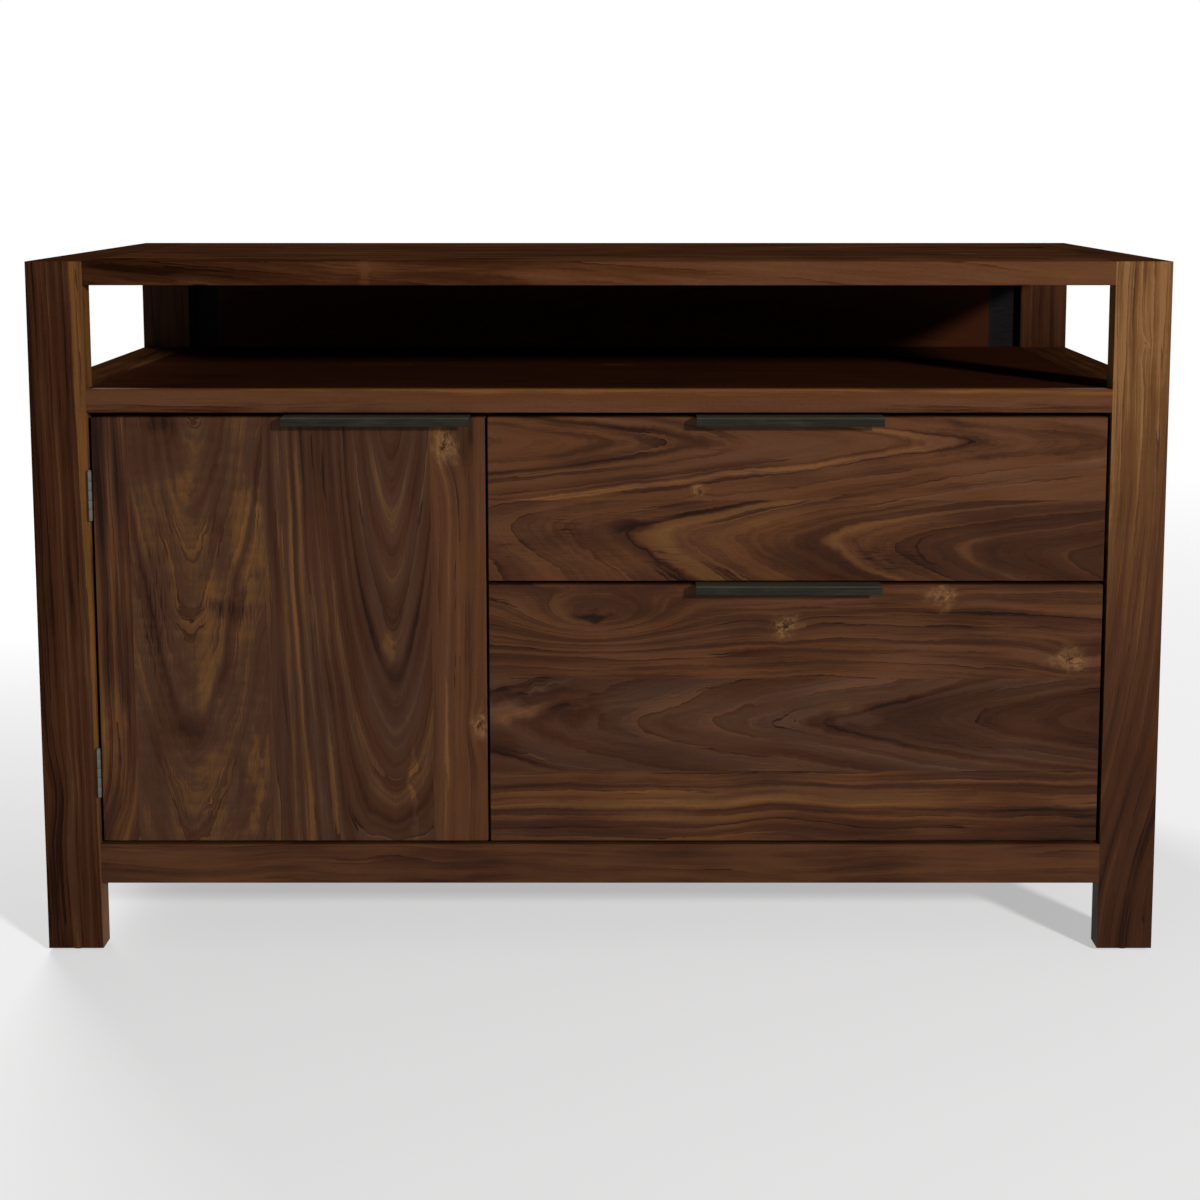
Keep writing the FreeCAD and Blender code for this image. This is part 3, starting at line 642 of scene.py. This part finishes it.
SHELF_BOARDS = (
    dict(to=-234, heart=-300, depth=60, taper=0.004, seed=26.4,
         tones="espresso maroon rosy russet gold", lines=0.15, cool=0, specular=0.04, wander=2,
         ripple=0.8, jitter=0.4, curl=0, streaks=0.3, fine=0.3, blotch=0.4,
         bands={60: 0.34, 65: 0.4, 69: 0.52, 73: 0.62, 77: 0.74, 80: 0.94, 85: 0.98},
         marks=((-580, -246, 240, 60, -0.12), (0, -246, 330, 60, 0.04),
                (520, -246, 260, 60, -0.1))),
    dict(to=-90, heart=-170, depth=60, taper=0.04, seed=27.4),
    dict(to=90, heart=10, depth=40, taper=-0.06, seed=28.7),
    dict(heart=190, depth=52, taper=-0.04, seed=29.8),
)

PANEL_FIGURE = dict(depth=14, taper=-0.16, spread=130, origin=300, tones=DARK, pitch=17, lines=0.42,
    wander=14, ripple=4.5, jitter=3, streaks=0.6, fine=0.3, blotch=0.4,
    bands={-60: 0.5, 0: 0.55, 20: 0.48, 26: 0.62, 60: 0.5, 66: 0.36, 74: 0.54, 140: 0.5, 200: 0.5})

# Half of a pin's narrow end as a share of the distance from pin to pin, and the
# slope of its sides.
PIN_SHARE = 0.12
DOVETAIL_SLOPE = math.radians(9.0)


# ---------------------------------------------------------------- mesh helpers

def to_mesh(name, bm, materials):
    bmesh.ops.recalc_face_normals(bm, faces=bm.faces[:])
    mesh = bpy.data.meshes.new(name)
    bm.to_mesh(mesh)
    bm.free()
    for material in materials:
        mesh.materials.append(material)
    return mesh


def stand_in(node, ending, bm, materials):
    """Show a finished mesh in place of its CAD node, riding the node's body."""
    name = "%s_%s" % (node, ending)
    piece = bpy.data.objects.new(name, to_mesh(name, bm, materials))
    bpy.context.scene.collection.objects.link(piece)
    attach(piece, BODY_OF[node])
    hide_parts(node)


def slice_box(bm, point, normal, keep_both):
    """Cut through everything; without keep_both the side the normal points to goes."""
    parts = bm.verts[:] + bm.edges[:] + bm.faces[:]
    made = bmesh.ops.bisect_plane(bm, geom=parts, plane_co=point, plane_no=normal,
                                  clear_outer=not keep_both)
    if not keep_both:
        rim = [part for part in made["geom_cut"] if isinstance(part, bmesh.types.BMEdge)]
        bmesh.ops.contextual_create(bm, geom=rim)


def ease(bm, radius, direction=None, segments=3):
    """Round the sharp edges, all of them or those along one axis."""
    sharp = []
    for edge in bm.edges:
        span = edge.verts[1].co - edge.verts[0].co
        runs = direction is None or abs(span.normalized()[direction]) > 0.999
        if runs and len(edge.link_faces) == 2 and edge.calc_face_angle() > math.radians(30):
            sharp.append(edge)
    bmesh.ops.bevel(bm, geom=sharp, offset=radius, segments=segments, profile=0.5,
                    affect="EDGES", clamp_overlap=True)


def timber(node, grain, across, seen, boards, cuts=(), all_edges=False):
    """A timber piece in place of its node, glued up from boards with their own figure.

    seen names the side that shows, such as -Y for the front.
    """
    low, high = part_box(node)
    bm = bmesh.new()
    place = Matrix.Translation((low + high) / 2) @ Matrix.Diagonal((*(high - low), 1.0))
    bmesh.ops.create_cube(bm, size=1.0, matrix=place)
    for point, normal in cuts:
        slice_box(bm, point, normal, keep_both=False)
    side = AXES.index(across)
    seams = [board["to"] * MM for board in boards[:-1]]
    plane = Vector([float(axis == side) for axis in range(3)])
    for seam in seams:
        slice_box(bm, plane * seam, plane, keep_both=True)
    ease(bm, settings().sizes.arris, None if all_edges else AXES.index(grain))
    for face in bm.faces:
        middle = face.calc_center_median()[side]
        face.material_index = sum(middle > seam for seam in seams)
    shown = (high if seen[0] == "+" else low)[AXES.index(seen[1])] / MM
    materials = []
    for number, board in enumerate(boards, 1):
        figure = dict(board, face=shown)
        figure.pop("to", None)
        name = "walnut_" + node + ("_%d" % number if len(boards) > 1 else "")
        materials.append(walnut(name, grain, across, **figure))
    stand_in(node, "timber", bm, materials)


def dress(node, material, softened=0.0):
    """Give a CAD node its finish, and soften its edges."""
    shown = frame["nodes"][node]
    shown.data.materials.clear()
    shown.data.materials.append(material)
    if softened:
        weld = shown.modifiers.new("weld", "WELD")
        weld.merge_threshold = SEAM_GAP
        flatten = shown.modifiers.new("flatten", "DECIMATE")
        flatten.decimate_type = "DISSOLVE"
        flatten.angle_limit = math.radians(1.0)
        bevel = shown.modifiers.new("bevel", "BEVEL")
        bevel.width = softened
        bevel.segments = 2
        bevel.limit_method = "ANGLE"
        bevel.angle_limit = math.radians(40.0)


def solids_in(node):
    """Lowest and highest corner of each separate solid in a node."""
    bm = bmesh.new()
    bm.from_mesh(frame["nodes"][node].data)
    bmesh.ops.remove_doubles(bm, verts=bm.verts[:], dist=SEAM_GAP)
    left = set(bm.verts)
    found = []
    while left:
        group, waiting = [], [left.pop()]
        while waiting:
            vert = waiting.pop()
            group.append(vert.co)
            near = {edge.other_vert(vert) for edge in vert.link_edges} & left
            left -= near
            waiting.extend(near)
        found.append([Vector(map(pick, zip(*group))) for pick in (min, max)])
    bm.free()
    return sorted(found, key=lambda corners: tuple(corners[0]))


def skin(bm, rings):
    """Faces between each ring of vertices and the next. A ring may be one vertex."""
    faces = []
    for lower, upper in zip(rings, rings[1:]):
        for here in range(max(len(lower), len(upper))):
            after = here + 1
            corners = [lower[here % len(lower)], lower[after % len(lower)],
                       upper[after % len(upper)], upper[here % len(upper)]]
            faces.append(bm.faces.new(list(dict.fromkeys(corners))))
    return faces


def prism(bm, outline, axis, start, end):
    """Extrude a flat outline along an axis; its points are in the other two axes' order."""
    rings = []
    for place in (start, end):
        rings.append([bm.verts.new((*point[:axis], place, *point[axis:])) for point in outline])
    return [bm.faces.new(ring) for ring in rings] + skin(bm, rings)


def lathe(bm, profile, base, direction, segments):
    """Turn a profile of (radius, height) points about an axis from base."""
    turn = Vector((0.0, 0.0, 1.0)).rotation_difference(direction).to_matrix()
    rings = []
    for radius, height in profile:
        angles = [math.tau * step / segments for step in range(segments if radius else 1)]
        rings.append([bm.verts.new(base + turn @ Vector(
            (radius * math.cos(angle), radius * math.sin(angle), height))) for angle in angles])
    skin(bm, rings)


def rounded(points, radii, steps=5):
    """A closed outline with its corners turned into arcs; a radius of 0 keeps the corner."""
    made = []
    for index, (point, radius) in enumerate(zip(points, radii)):
        corner = Vector(point)
        if radius == 0.0:
            made.append(tuple(corner))
            continue
        before = (Vector(points[index - 1]) - corner).normalized()
        after = (Vector(points[(index + 1) % len(points)]) - corner).normalized()
        centre = corner + (before + after) * radius
        for step in range(steps + 1):
            turn = math.pi / 2 * step / steps
            spot = centre - (after * math.cos(turn) + before * math.sin(turn)) * radius
            made.append(tuple(spot))
    return made


# ---------------------------------------------------------------- operators

class CREDENZA_OT_stage(bpy.types.Operator):
    """Camera, lamps, surrounding light and floor"""
    bl_idname = "credenza.stage"
    bl_label = "Studio"

    def execute(self, context):
        studio = settings().studio
        lens = bpy.data.cameras.new("camera")
        lens.lens = studio.lens
        lens.sensor_width = 36.0
        lens.shift_x = studio.shift_x
        lens.shift_y = studio.shift_y
        camera = self.put("camera", lens, studio.eye)
        camera.rotation_euler = (math.pi / 2 - studio.pitch, 0.0, 0.0)
        context.scene.camera = camera
        context.scene.view_settings.view_transform = "Standard"
        self.lamp("key_lamp", studio.key_place, studio.key_size, studio.key_power)
        self.lamp("rear_lamp", studio.rear_place, studio.rear_size, studio.rear_power)
        self.surround(studio.sky)
        self.floor(studio.floor)
        return {"FINISHED"}

    def put(self, name, data, place=(0.0, 0.0, 0.0)):
        made = bpy.data.objects.new(name, data)
        made.location = place
        bpy.context.scene.collection.objects.link(made)
        return made

    def lamp(self, name, place, size, power):
        """A square lamp that points at the middle of the case."""
        light = bpy.data.lights.new(name, "AREA")
        light.size = size
        light.energy = power
        lamp = self.put(name, light, place)
        way = Vector((0.0, 0.0, 0.38)) - Vector(place)
        lamp.rotation_euler = way.to_track_quat("-Z", "Y").to_euler()
        lamp.visible_glossy = False

    def surround(self, sky):
        world = bpy.data.worlds.new("surround")
        bpy.context.scene.world = world
        made = Tree(world)
        levels = {"Value": made.seen_white(), "To Min": sky, "To Max": 1.0}
        strength = made.add("MapRange", inputs=levels)
        made.feed(made.nodes["Background"], {"Color": (1.0,) * 4, "Strength": strength})

    def floor(self, paint):
        """A pale floor that fades to white far off and keeps the credenza's shadow."""
        made = Finish("floor_paint", Roughness=0.85, Specular_IOR_Level=0.1)
        x, y, _ = made.split(made.place())
        far = (x * x + y * y).root().fade(900.0, 3600.0)
        speckle = made.noise(made.place(), detail=3.0)
        made.shade(Base_Color=made.dim(paint, 0.99 + speckle * 0.02))
        white = made.add("Emission", inputs={"Color": (1.0,) * 4, "Strength": 1.0})
        veil = made.seen_white() * (0.45 + far * 0.55)
        painted = Value(made, made.shader.outputs[0])
        mixed = made.add("MixShader", inputs={0: veil, 1: painted, 2: white})
        made.feed(made.nodes["Material Output"], {"Surface": mixed})
        bm = bmesh.new()
        bmesh.ops.create_grid(bm, x_segments=4, y_segments=4, size=14.0)
        self.put("floor", to_mesh("floor", bm, [made.material]))


class CREDENZA_OT_fronts(bpy.types.Operator):
    """Door and drawer fronts, glued up from figured boards"""
    bl_idname = "credenza.fronts"
    bl_label = "Fronts"

    def execute(self, context):
        timber("door_panel", "Z", "X", "-Y", DOOR_BOARDS, all_edges=True)
        timber("upper_drawer_front", "X", "Z", "-Y", UPPER_FRONT_BOARDS, all_edges=True)
        timber("lower_drawer_front", "X", "Z", "-Y", LOWER_FRONT_BOARDS, all_edges=True)
        return {"FINISHED"}


class CREDENZA_OT_side_frames(bpy.types.Operator):
    """Legs and rails of the two side frames, mitred at their top corners"""
    bl_idname = "credenza.side_frames"
    bl_label = "Side frames"

    def execute(self, context):
        for side in ("left", "right"):
            rail = side + "_top_rail"
            low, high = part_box(rail)
            cuts = []
            for end, corner, seen, away in (("front", low.y, "-Y", -1.0), ("rear", high.y, "+Y", 1.0)):
                leg = "%s_%s_leg" % (end, side)
                mitre = Vector((0.0, corner, high.z))
                timber(leg, "Z", "X", seen, [FRAME_BOARDS[leg]],
                       cuts=[(mitre, Vector((0.0, -away, 1.0)))])
                cuts.append((mitre, Vector((0.0, away, -1.0))))
            timber(rail, "Y", "X", "+Z", [FRAME_BOARDS[rail]], cuts=cuts)
            shelf_rail = side + "_shelf_rail"
            timber(shelf_rail, "Y", "X", "+Z", [FRAME_BOARDS[shelf_rail]])
        return {"FINISHED"}


class CREDENZA_OT_case(bpy.types.Operator):
    """Top, fixed shelf and bottom rails of the case"""
    bl_idname = "credenza.case"
    bl_label = "Case"

    def execute(self, context):
        top = [dict(board, specular=0.0) for board in TOP_BOARDS]
        timber("top_panel", "X", "Y", "+Z", top)
        lipping, *rest = SHELF_BOARDS
        # The boards behind the lipping lie inside the bay; their darker bay tones are painted shade.
        shaded = [dict(board, tones=BAY_PAINTED_SHADE_TONES, specular=0.0, cool=0.0) for board in rest]
        timber("shelf_panel", "X", "Y", "+Z", [lipping] + shaded)
        for node, seen in (("front_bottom_rail", "-Y"), ("rear_bottom_rail", "+Y")):
            timber(node, "X", "Z", seen, [FRAME_BOARDS[node]])
        return {"FINISHED"}


class CREDENZA_OT_panels(bpy.types.Operator):
    """Panels inside the case and behind the open bay"""
    bl_idname = "credenza.panels"
    bl_label = "Panels"

    def execute(self, context):
        fine = settings().sizes.fine_arris
        for node, face, heart, seed in (("left_side_panel", -597, 20, 31.2),
                                        ("right_side_panel", 597, -50, 35.8),
                                        ("partition_panel", -121, 60, 36.4)):
            dress(node, walnut("walnut_" + node, "Z", "Y", face=face, heart=heart, seed=seed,
                               **PANEL_FIGURE), fine)
        level = walnut("walnut_level_panels", "X", "Y", heart=-60, depth=60, taper=0.02,
                       face=350, seed=32.9, tones=DARK)
        for node in ("bottom_panel", "adjustable_shelf", "slide_packers"):
            dress(node, level, fine)
        back = walnut("walnut_case_back", "X", "Z", heart=330, face=249, seed=33.7,
                      **PANEL_FIGURE)
        dress("case_back_panel", back, fine)
        # The bay's back takes the darker bay tones as painted shade.
        bay = walnut("walnut_bay_back_painted_shade", "X", "Z", heart=655, face=252, seed=34.1,
                     specular=0.02, **dict(PANEL_FIGURE, tones=BAY_BACK_PAINTED_SHADE_TONES))
        dress("bay_back_panel", bay, fine)
        return {"FINISHED"}


class CREDENZA_OT_drawer_boxes(bpy.types.Operator):
    """Dovetailed drawer boxes with their bottoms and file rails"""
    bl_idname = "credenza.drawer_boxes"
    bl_label = "Drawer boxes"

    def execute(self, context):
        lengthwise = maple("maple_sides", "Y", 1.7)
        crosswise = maple("maple_ends", "X", 4.2)
        ply = maple("maple_ply", "X", 7.5, layers=True)
        for box, tails in (("upper_drawer_", 3), ("lower_drawer_", 5)):
            front, back, left, right = [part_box(box + part) for part in (
                "inner_front", "back", "left_side", "right_side")]
            for part, (low, high) in (("left_side", left), ("right_side", right)):
                ahead = self.tail_edge(low, high, low.y, front[1].y, tails)
                behind = self.tail_edge(low, high, high.y, back[0].y, tails)
                bm = bmesh.new()
                prism(bm, ahead + behind[::-1], 0, low.x, high.x)
                self.finish(bm, box + part, lengthwise)
            for part, (low, high), outer, inner in (
                    ("inner_front", front, front[0].y, front[1].y),
                    ("back", back, back[1].y, back[0].y)):
                bm = self.pin_board(low, high, outer, inner, left[0].x, right[1].x, tails)
                self.finish(bm, box + part, crosswise)
            dress(box + "bottom", ply)
        dress("file_rails", plated("zinc_file_rails"), 0.0005)
        return {"FINISHED"}

    def finish(self, bm, node, material):
        ease(bm, settings().sizes.fine_arris / 2, segments=2)
        stand_in(node, "joined", bm, [material])

    def pins(self, low, high, outer, inner, tails):
        """Half the width of a pin at the box's outside and at the shoulder."""
        narrow = (high.z - low.z) / tails * PIN_SHARE
        return narrow, narrow + abs(outer - inner) * math.tan(DOVETAIL_SLOPE)

    def tail_edge(self, low, high, end, shoulder, tails):
        """(y, z) points up the dovetailed end of a side."""
        narrow, wide = self.pins(low, high, end, shoulder, tails)
        pitch = (high.z - low.z) / tails
        points = [(shoulder, low.z)]
        for tail in range(tails):
            foot = low.z + tail * pitch
            head = foot + pitch
            points += [(shoulder, foot + wide), (end, foot + narrow),
                       (end, head - narrow), (shoulder, head - wide)]
        return points + [(shoulder, high.z)]

    def pin_board(self, low, high, outer, inner, far_left, far_right, tails):
        """Front or back of a box with its pins through the sides."""
        bm = bmesh.new()
        narrow, wide = self.pins(low, high, outer, inner, tails)
        levels = [(low.z, low.z)]
        for pin in range(tails + 1):
            centre = low.z + (high.z - low.z) / tails * pin
            if pin > 0:
                levels.append((centre - narrow, centre - wide))
            if pin < tails:
                levels.append((centre + narrow, centre + wide))
        levels.append((high.z, high.z))
        grid = {}
        for place in (low.x, high.x, far_left, far_right):
            for index, (at_outer, at_inner) in enumerate(levels):
                grid[place, index, 0] = bm.verts.new((place, outer, at_outer))
                grid[place, index, 1] = bm.verts.new((place, inner, at_inner))

        def quad(*keys):
            bm.faces.new([grid[key] for key in keys])

        for index in range(len(levels) - 1):
            after = index + 1
            for face in (0, 1):
                quad((low.x, index, face), (high.x, index, face),
                     (high.x, after, face), (low.x, after, face))
            for near, far in ((low.x, far_left), (high.x, far_right)):
                if index % 2:
                    quad((near, index, 0), (near, index, 1), (near, after, 1), (near, after, 0))
                    continue
                quad((far, index, 0), (far, index, 1), (far, after, 1), (far, after, 0))
                for face in (0, 1):
                    quad((near, index, face), (far, index, face),
                         (far, after, face), (near, after, face))
                for level in (index, after):
                    quad((near, level, 0), (far, level, 0), (far, level, 1), (near, level, 1))
        for level in (0, len(levels) - 1):
            quad((low.x, level, 0), (high.x, level, 0), (high.x, level, 1), (low.x, level, 1))
        loose = [vert for vert in bm.verts if not vert.link_faces]
        bmesh.ops.delete(bm, geom=loose, context="VERTS")
        return bm


class CREDENZA_OT_pulls(bpy.types.Operator):
    """Edge pulls bent from flat bar"""
    bl_idname = "credenza.pulls"
    bl_label = "Pulls"

    def execute(self, context):
        metal = settings().metal
        finish = blackened("blackened_steel", metal.blackened, metal.worn_and_highlight)
        # The rubbed finish is rubbed wear on the bevels and painted highlight on the upward faces.
        edge = blackened("rubbed_steel_and_painted_highlight", metal.worn_and_highlight, (0.055, 0.052, 0.044))
        for name, front in (("door", "door_panel"), ("upper_drawer", "upper_drawer_front"),
                            ("lower_drawer", "lower_drawer_front")):
            self.pull(name + "_pull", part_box(front)[1].z, [finish, edge])
        return {"FINISHED"}

    def pull(self, node, front_top, materials):
        """A flange behind the front, a plate over its edge and a lip before it."""
        sizes = settings().sizes
        low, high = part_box(node)
        plate = high.z - front_top
        flange, lip = high.z - sizes.flange, high.z - sizes.lip
        outline = [(low.y, lip), (low.y, high.z), (high.y, high.z), (high.y, flange),
                   (high.y - plate, flange), (high.y - plate, front_top),
                   (low.y + plate, front_top), (low.y + plate, lip)]
        inside = max(sizes.bend - plate, 0.0003)
        radii = [0.0, sizes.bend, sizes.bend, 0.0, 0.0, inside, inside, 0.0]
        bm = bmesh.new()
        prism(bm, rounded(outline, radii), 0, low.x, high.x)
        sharp = [edge for edge in bm.edges if edge.calc_face_angle() > math.radians(50)]
        made = bmesh.ops.bevel(bm, geom=sharp, offset=0.00035, segments=2, profile=0.5,
                               affect="EDGES")
        bmesh.ops.recalc_face_normals(bm, faces=bm.faces[:])
        # Upward faces take the paler rubbed finish as painted highlight, as if lit from above; the
        # bevels take it as rubbed wear.
        upward = [face for face in bm.faces if face.normal.z > 0.4]
        for face in made["faces"] + upward:
            face.material_index = 1
        stand_in(node, "bent", bm, materials)


class CREDENZA_OT_hinges(bpy.types.Operator):
    """Butt hinges of the door"""
    bl_idname = "credenza.hinges"
    bl_label = "Hinges"

    def execute(self, context):
        satin = brushed("satin_hinge_steel", settings().metal.satin, "Z")
        for node in ("hinge_case_leaves", "hinge_door_leaves", "hinge_pins"):
            dress(node, satin, 0.00025)
        return {"FINISHED"}


class CREDENZA_OT_catch(bpy.types.Operator):
    """Magnetic catch inside the door"""
    bl_idname = "credenza.catch"
    bl_label = "Catch"

    def execute(self, context):
        dress("catch_housing", moulded("brown_catch_plastic", (0.13, 0.08, 0.055)), 0.0006)
        dress("catch_magnet", ferrite("bare_ferrite"), 0.0003)
        dress("catch_strike", plated("zinc_strike"), 0.0003)
        return {"FINISHED"}


class CREDENZA_OT_slides(bpy.types.Operator):
    """Drawer slides, each of three members"""
    bl_idname = "credenza.slides"
    bl_label = "Slides"

    def execute(self, context):
        zinc = brushed("zinc_slides", settings().metal.zinc, "Y", roughness=0.26, streak=0.10)
        for slide in ("upper_slide_", "lower_slide_"):
            for part in ("case_members", "runners", "drawer_members"):
                dress(slide + part, zinc, 0.0004)
        return {"FINISHED"}


class CREDENZA_OT_screws(bpy.types.Operator):
    """Cross-head screws of the pulls, fronts, hinges and back"""
    bl_idname = "credenza.screws"
    bl_label = "Screws"

    # Height of each head, then (share of its radius, share of its height) down its side.
    PAN = (0.0018, (0.70, -0.08), (0.88, -0.30), (0.97, -0.60), (1.0, -0.92), (0.98, -1.0))
    FLAT = (0.0014, (0.75, 0.0), (0.97, -0.01), (1.0, -0.08), (0.5, -1.0))
    # Radius at the thread's crests and between them, as shares of the head's.
    CREST = 0.46
    ROOT = 0.3312

    def execute(self, context):
        steel = brushed("screw_steel", (0.50, 0.50, 0.49), "Z", roughness=0.30, streak=0.08)
        for node in ("back_screws", "door_pull_screws", "upper_drawer_pull_screws",
                     "upper_drawer_front_screws", "lower_drawer_pull_screws",
                     "lower_drawer_front_screws"):
            self.screws(node, Vector((0.0, 1.0, 0.0)), self.PAN, steel)
        self.screws("hinge_case_screws", Vector((1.0, 0.0, 0.0)), self.FLAT, steel)
        self.screws("hinge_door_screws", Vector((-1.0, 0.0, 0.0)), self.FLAT, steel)
        return {"FINISHED"}

    def screws(self, node, outward, head, steel):
        """All screws of a node, whose heads are at their ends in one direction."""
        bm = bmesh.new()
        axis = [abs(step) for step in outward].index(1.0)
        across = 0 if axis else 1
        for low, high in solids_in(node):
            top = (low + high) / 2
            top[axis] = high[axis] if outward[axis] > 0 else low[axis]
            radius = (high[across] - low[across]) / 2
            self.screw(bm, top, outward, radius, high[axis] - low[axis], head)
        stand_in(node, "driven", bm, [steel])

    def screw(self, bm, top, outward, radius, reach, head):
        """Head with a cross recess, and a threaded shank."""
        height, *side = head
        slot, arm = radius * 0.13, radius * 0.52
        turn = Vector((0.0, 0.0, 1.0)).rotation_difference(outward).to_matrix()
        cross = [(slot, arm), (slot, slot), (arm, slot)]
        for quarter in range(3):
            cross += [(y, -x) for x, y in cross[-3:]]

        def ring(points, depth):
            return [bm.verts.new(top + turn @ Vector((x, y, depth))) for x, y in points]

        def circle(size, depth):
            angles = [math.atan2(y, x) for x, y in cross]
            return ring([(size * math.cos(a), size * math.sin(a)) for a in angles], depth)

        floor = ring([(x * 0.7, y * 0.7) for x, y in cross], height * -0.55)
        rings = [floor, ring(cross, height * -0.02)]
        rings += [circle(radius * share, height * drop) for share, drop in side]
        steps = 18
        for step in range(steps):
            size = radius * (self.CREST if step % 2 else self.ROOT) * (1.0 - 0.25 * step / steps)
            rings.append(circle(size, -height - (reach - height) * (step + 1) / (steps + 1)))
        bm.faces.new(floor)
        skin(bm, rings + [ring([(0.0, 0.0)], -reach)])


class CREDENZA_OT_small_fittings(bpy.types.Operator):
    """Shelf pins, foot glides and the brushes of the cable gaps"""
    bl_idname = "credenza.small_fittings"
    bl_label = "Small fittings"

    def execute(self, context):
        self.shelf_pins()
        self.glides()
        self.cable_brushes()
        return {"FINISHED"}

    def cable_brushes(self):
        """Grooved carriers with two rows of fine bristles that meet in each gap."""
        bm = bmesh.new()
        chance = random.Random(7)
        for number, (low, high) in enumerate(solids_in("bay_cable_brushes")):
            root, tip = (high.x, low.x) if number % 2 else (low.x, high.x)
            self.brush(bm, root, tip, low, high, chance)
        carrier = moulded("black_carrier_plastic", (0.008, 0.008, 0.008), 0.60, specular=0.06)
        nylon = moulded("black_bristle_nylon", (0.010, 0.009, 0.009), 0.70, specular=0.06)
        stand_in("bay_cable_brushes", "bristled", bm, [carrier, nylon])

    def brush(self, bm, root, tip, low, high, chance):
        """A carrier from its root, and bristles out of its groove to the tip."""
        way = 1.0 if tip > root else -1.0
        middle = (low.y + high.y) / 2
        mouth, groove = root + way * 0.005, 0.0022
        lip, corner = 0.0011, 0.0005
        half = [(root, low.y), (mouth - way * corner, low.y), (mouth, low.y + corner),
                (mouth, middle - lip), (mouth - way * groove, middle - lip)]
        mirrored = [(x, 2 * middle - y) for x, y in reversed(half)]
        prism(bm, half + mirrored, 2, low.z, high.z)
        foot_x = mouth - way * 0.002
        end_x = tip + way * 0.0003
        core = [(foot_x, middle - 0.0004), (end_x, middle - 0.0002),
                (end_x, middle + 0.0002), (foot_x, middle + 0.0004)]
        bristled = prism(bm, core, 2, low.z, high.z)
        pitch = 0.0005
        for step in range(2, int((high.z - low.z) / pitch) - 1):
            for row in (-1, 1):
                foot = Vector((foot_x, middle + row * 0.0005, low.z + pitch * (step + row / 4)))
                reach = tip - foot_x + way * chance.uniform(0.0002, 0.0014)
                end = foot + Vector((reach, chance.gauss(0.0, 0.0003), chance.gauss(0.0, 0.0002)))
                bristled += self.bristle(bm, foot, end, chance.uniform(0.0, math.tau))
        for face in bristled:
            face.material_index = 1

    def bristle(self, bm, foot, end, turned):
        rings = []
        for middle, radius in ((foot, 0.00024), (end, 0.00015)):
            angles = [turned + math.tau * turn / 3 for turn in (0, 1, 2)]
            rings.append([bm.verts.new(middle + Vector(
                (0.0, math.cos(a) * radius, math.sin(a) * radius))) for a in angles])
        return [bm.faces.new(rings[1])] + skin(bm, rings)

    def shelf_pins(self):
        bm = bmesh.new()
        for low, high in solids_in("shelf_pins"):
            base = (low + high) / 2
            on_left = base.x < -0.4
            base.x = low.x if on_left else high.x
            reach = high.x - low.x
            pin, collar, mouth = 0.0025, (high.z - low.z) / 2, 0.008
            profile = [(0.0, 0.0), (pin * 0.8, 0.0), (pin, 0.0005), (pin, mouth),
                       (collar - 0.0002, mouth), (collar, mouth + 0.0002),
                       (collar, mouth + 0.0008), (collar - 0.0002, mouth + 0.001),
                       (pin + 0.0002, mouth + 0.001), (pin, mouth + 0.0013),
                       (pin, reach - 0.0008), (pin * 0.85, reach - 0.0002), (pin * 0.6, reach),
                       (0.0, reach)]
            lathe(bm, profile, base, Vector((1.0 if on_left else -1.0, 0.0, 0.0)), 28)
        stand_in("shelf_pins", "turned", bm, [plated("zinc_pins")])

    def glides(self):
        bm = bmesh.new()
        for low, high in solids_in("foot_glides"):
            base = (low + high) / 2
            base.z = low.z
            radius, thick, nail = (high.x - low.x) / 2, 0.003, 0.0012
            profile = [(0.0, 0.0007), (nail * 1.6, 0.0007), (nail * 2.0, 0.0002),
                       (radius * 0.6, 0.0), (radius * 0.85, 0.0002), (radius * 0.96, 0.0009),
                       (radius, 0.0018), (radius, thick), (nail, thick),
                       (nail, high.z - 0.002), (0.0, high.z)]
            lathe(bm, profile, base, Vector((0.0, 0.0, 1.0)), 40)
        stand_in("foot_glides", "moulded", bm, [moulded("dark_nylon", (0.10, 0.09, 0.08))])


OPERATORS = (
    CREDENZA_OT_stage,
    CREDENZA_OT_fronts,
    CREDENZA_OT_side_frames,
    CREDENZA_OT_case,
    CREDENZA_OT_panels,
    CREDENZA_OT_drawer_boxes,
    CREDENZA_OT_pulls,
    CREDENZA_OT_hinges,
    CREDENZA_OT_catch,
    CREDENZA_OT_slides,
    CREDENZA_OT_screws,
    CREDENZA_OT_small_fittings,
)


class CREDENZA_PT_panel(bpy.types.Panel):
    """Lists the steps that dress the credenza"""
    bl_idname = "CREDENZA_PT_panel"
    bl_label = "Credenza"
    bl_space_type = "VIEW_3D"
    bl_region_type = "UI"
    bl_category = "Credenza"

    def draw(self, context):
        for operator in OPERATORS:
            self.layout.operator(operator.bl_idname)


CLASSES = (
    CredenzaWalnut,
    CredenzaMetal,
    CredenzaMaple,
    CredenzaSizes,
    CredenzaStudio,
    CredenzaSettings,
) + OPERATORS + (CREDENZA_PT_panel,)


def register():
    for made in CLASSES:
        bpy.utils.register_class(made)
    bpy.types.Scene.credenza = bpy.props.PointerProperty(type=CredenzaSettings)


def unregister():
    del bpy.types.Scene.credenza
    for made in reversed(CLASSES):
        bpy.utils.unregister_class(made)


def main():
    register()
    for operator in OPERATORS:
        group, name = operator.bl_idname.split(".")
        getattr(getattr(bpy.ops, group), name)()


if __name__ == "__main__":
    main()
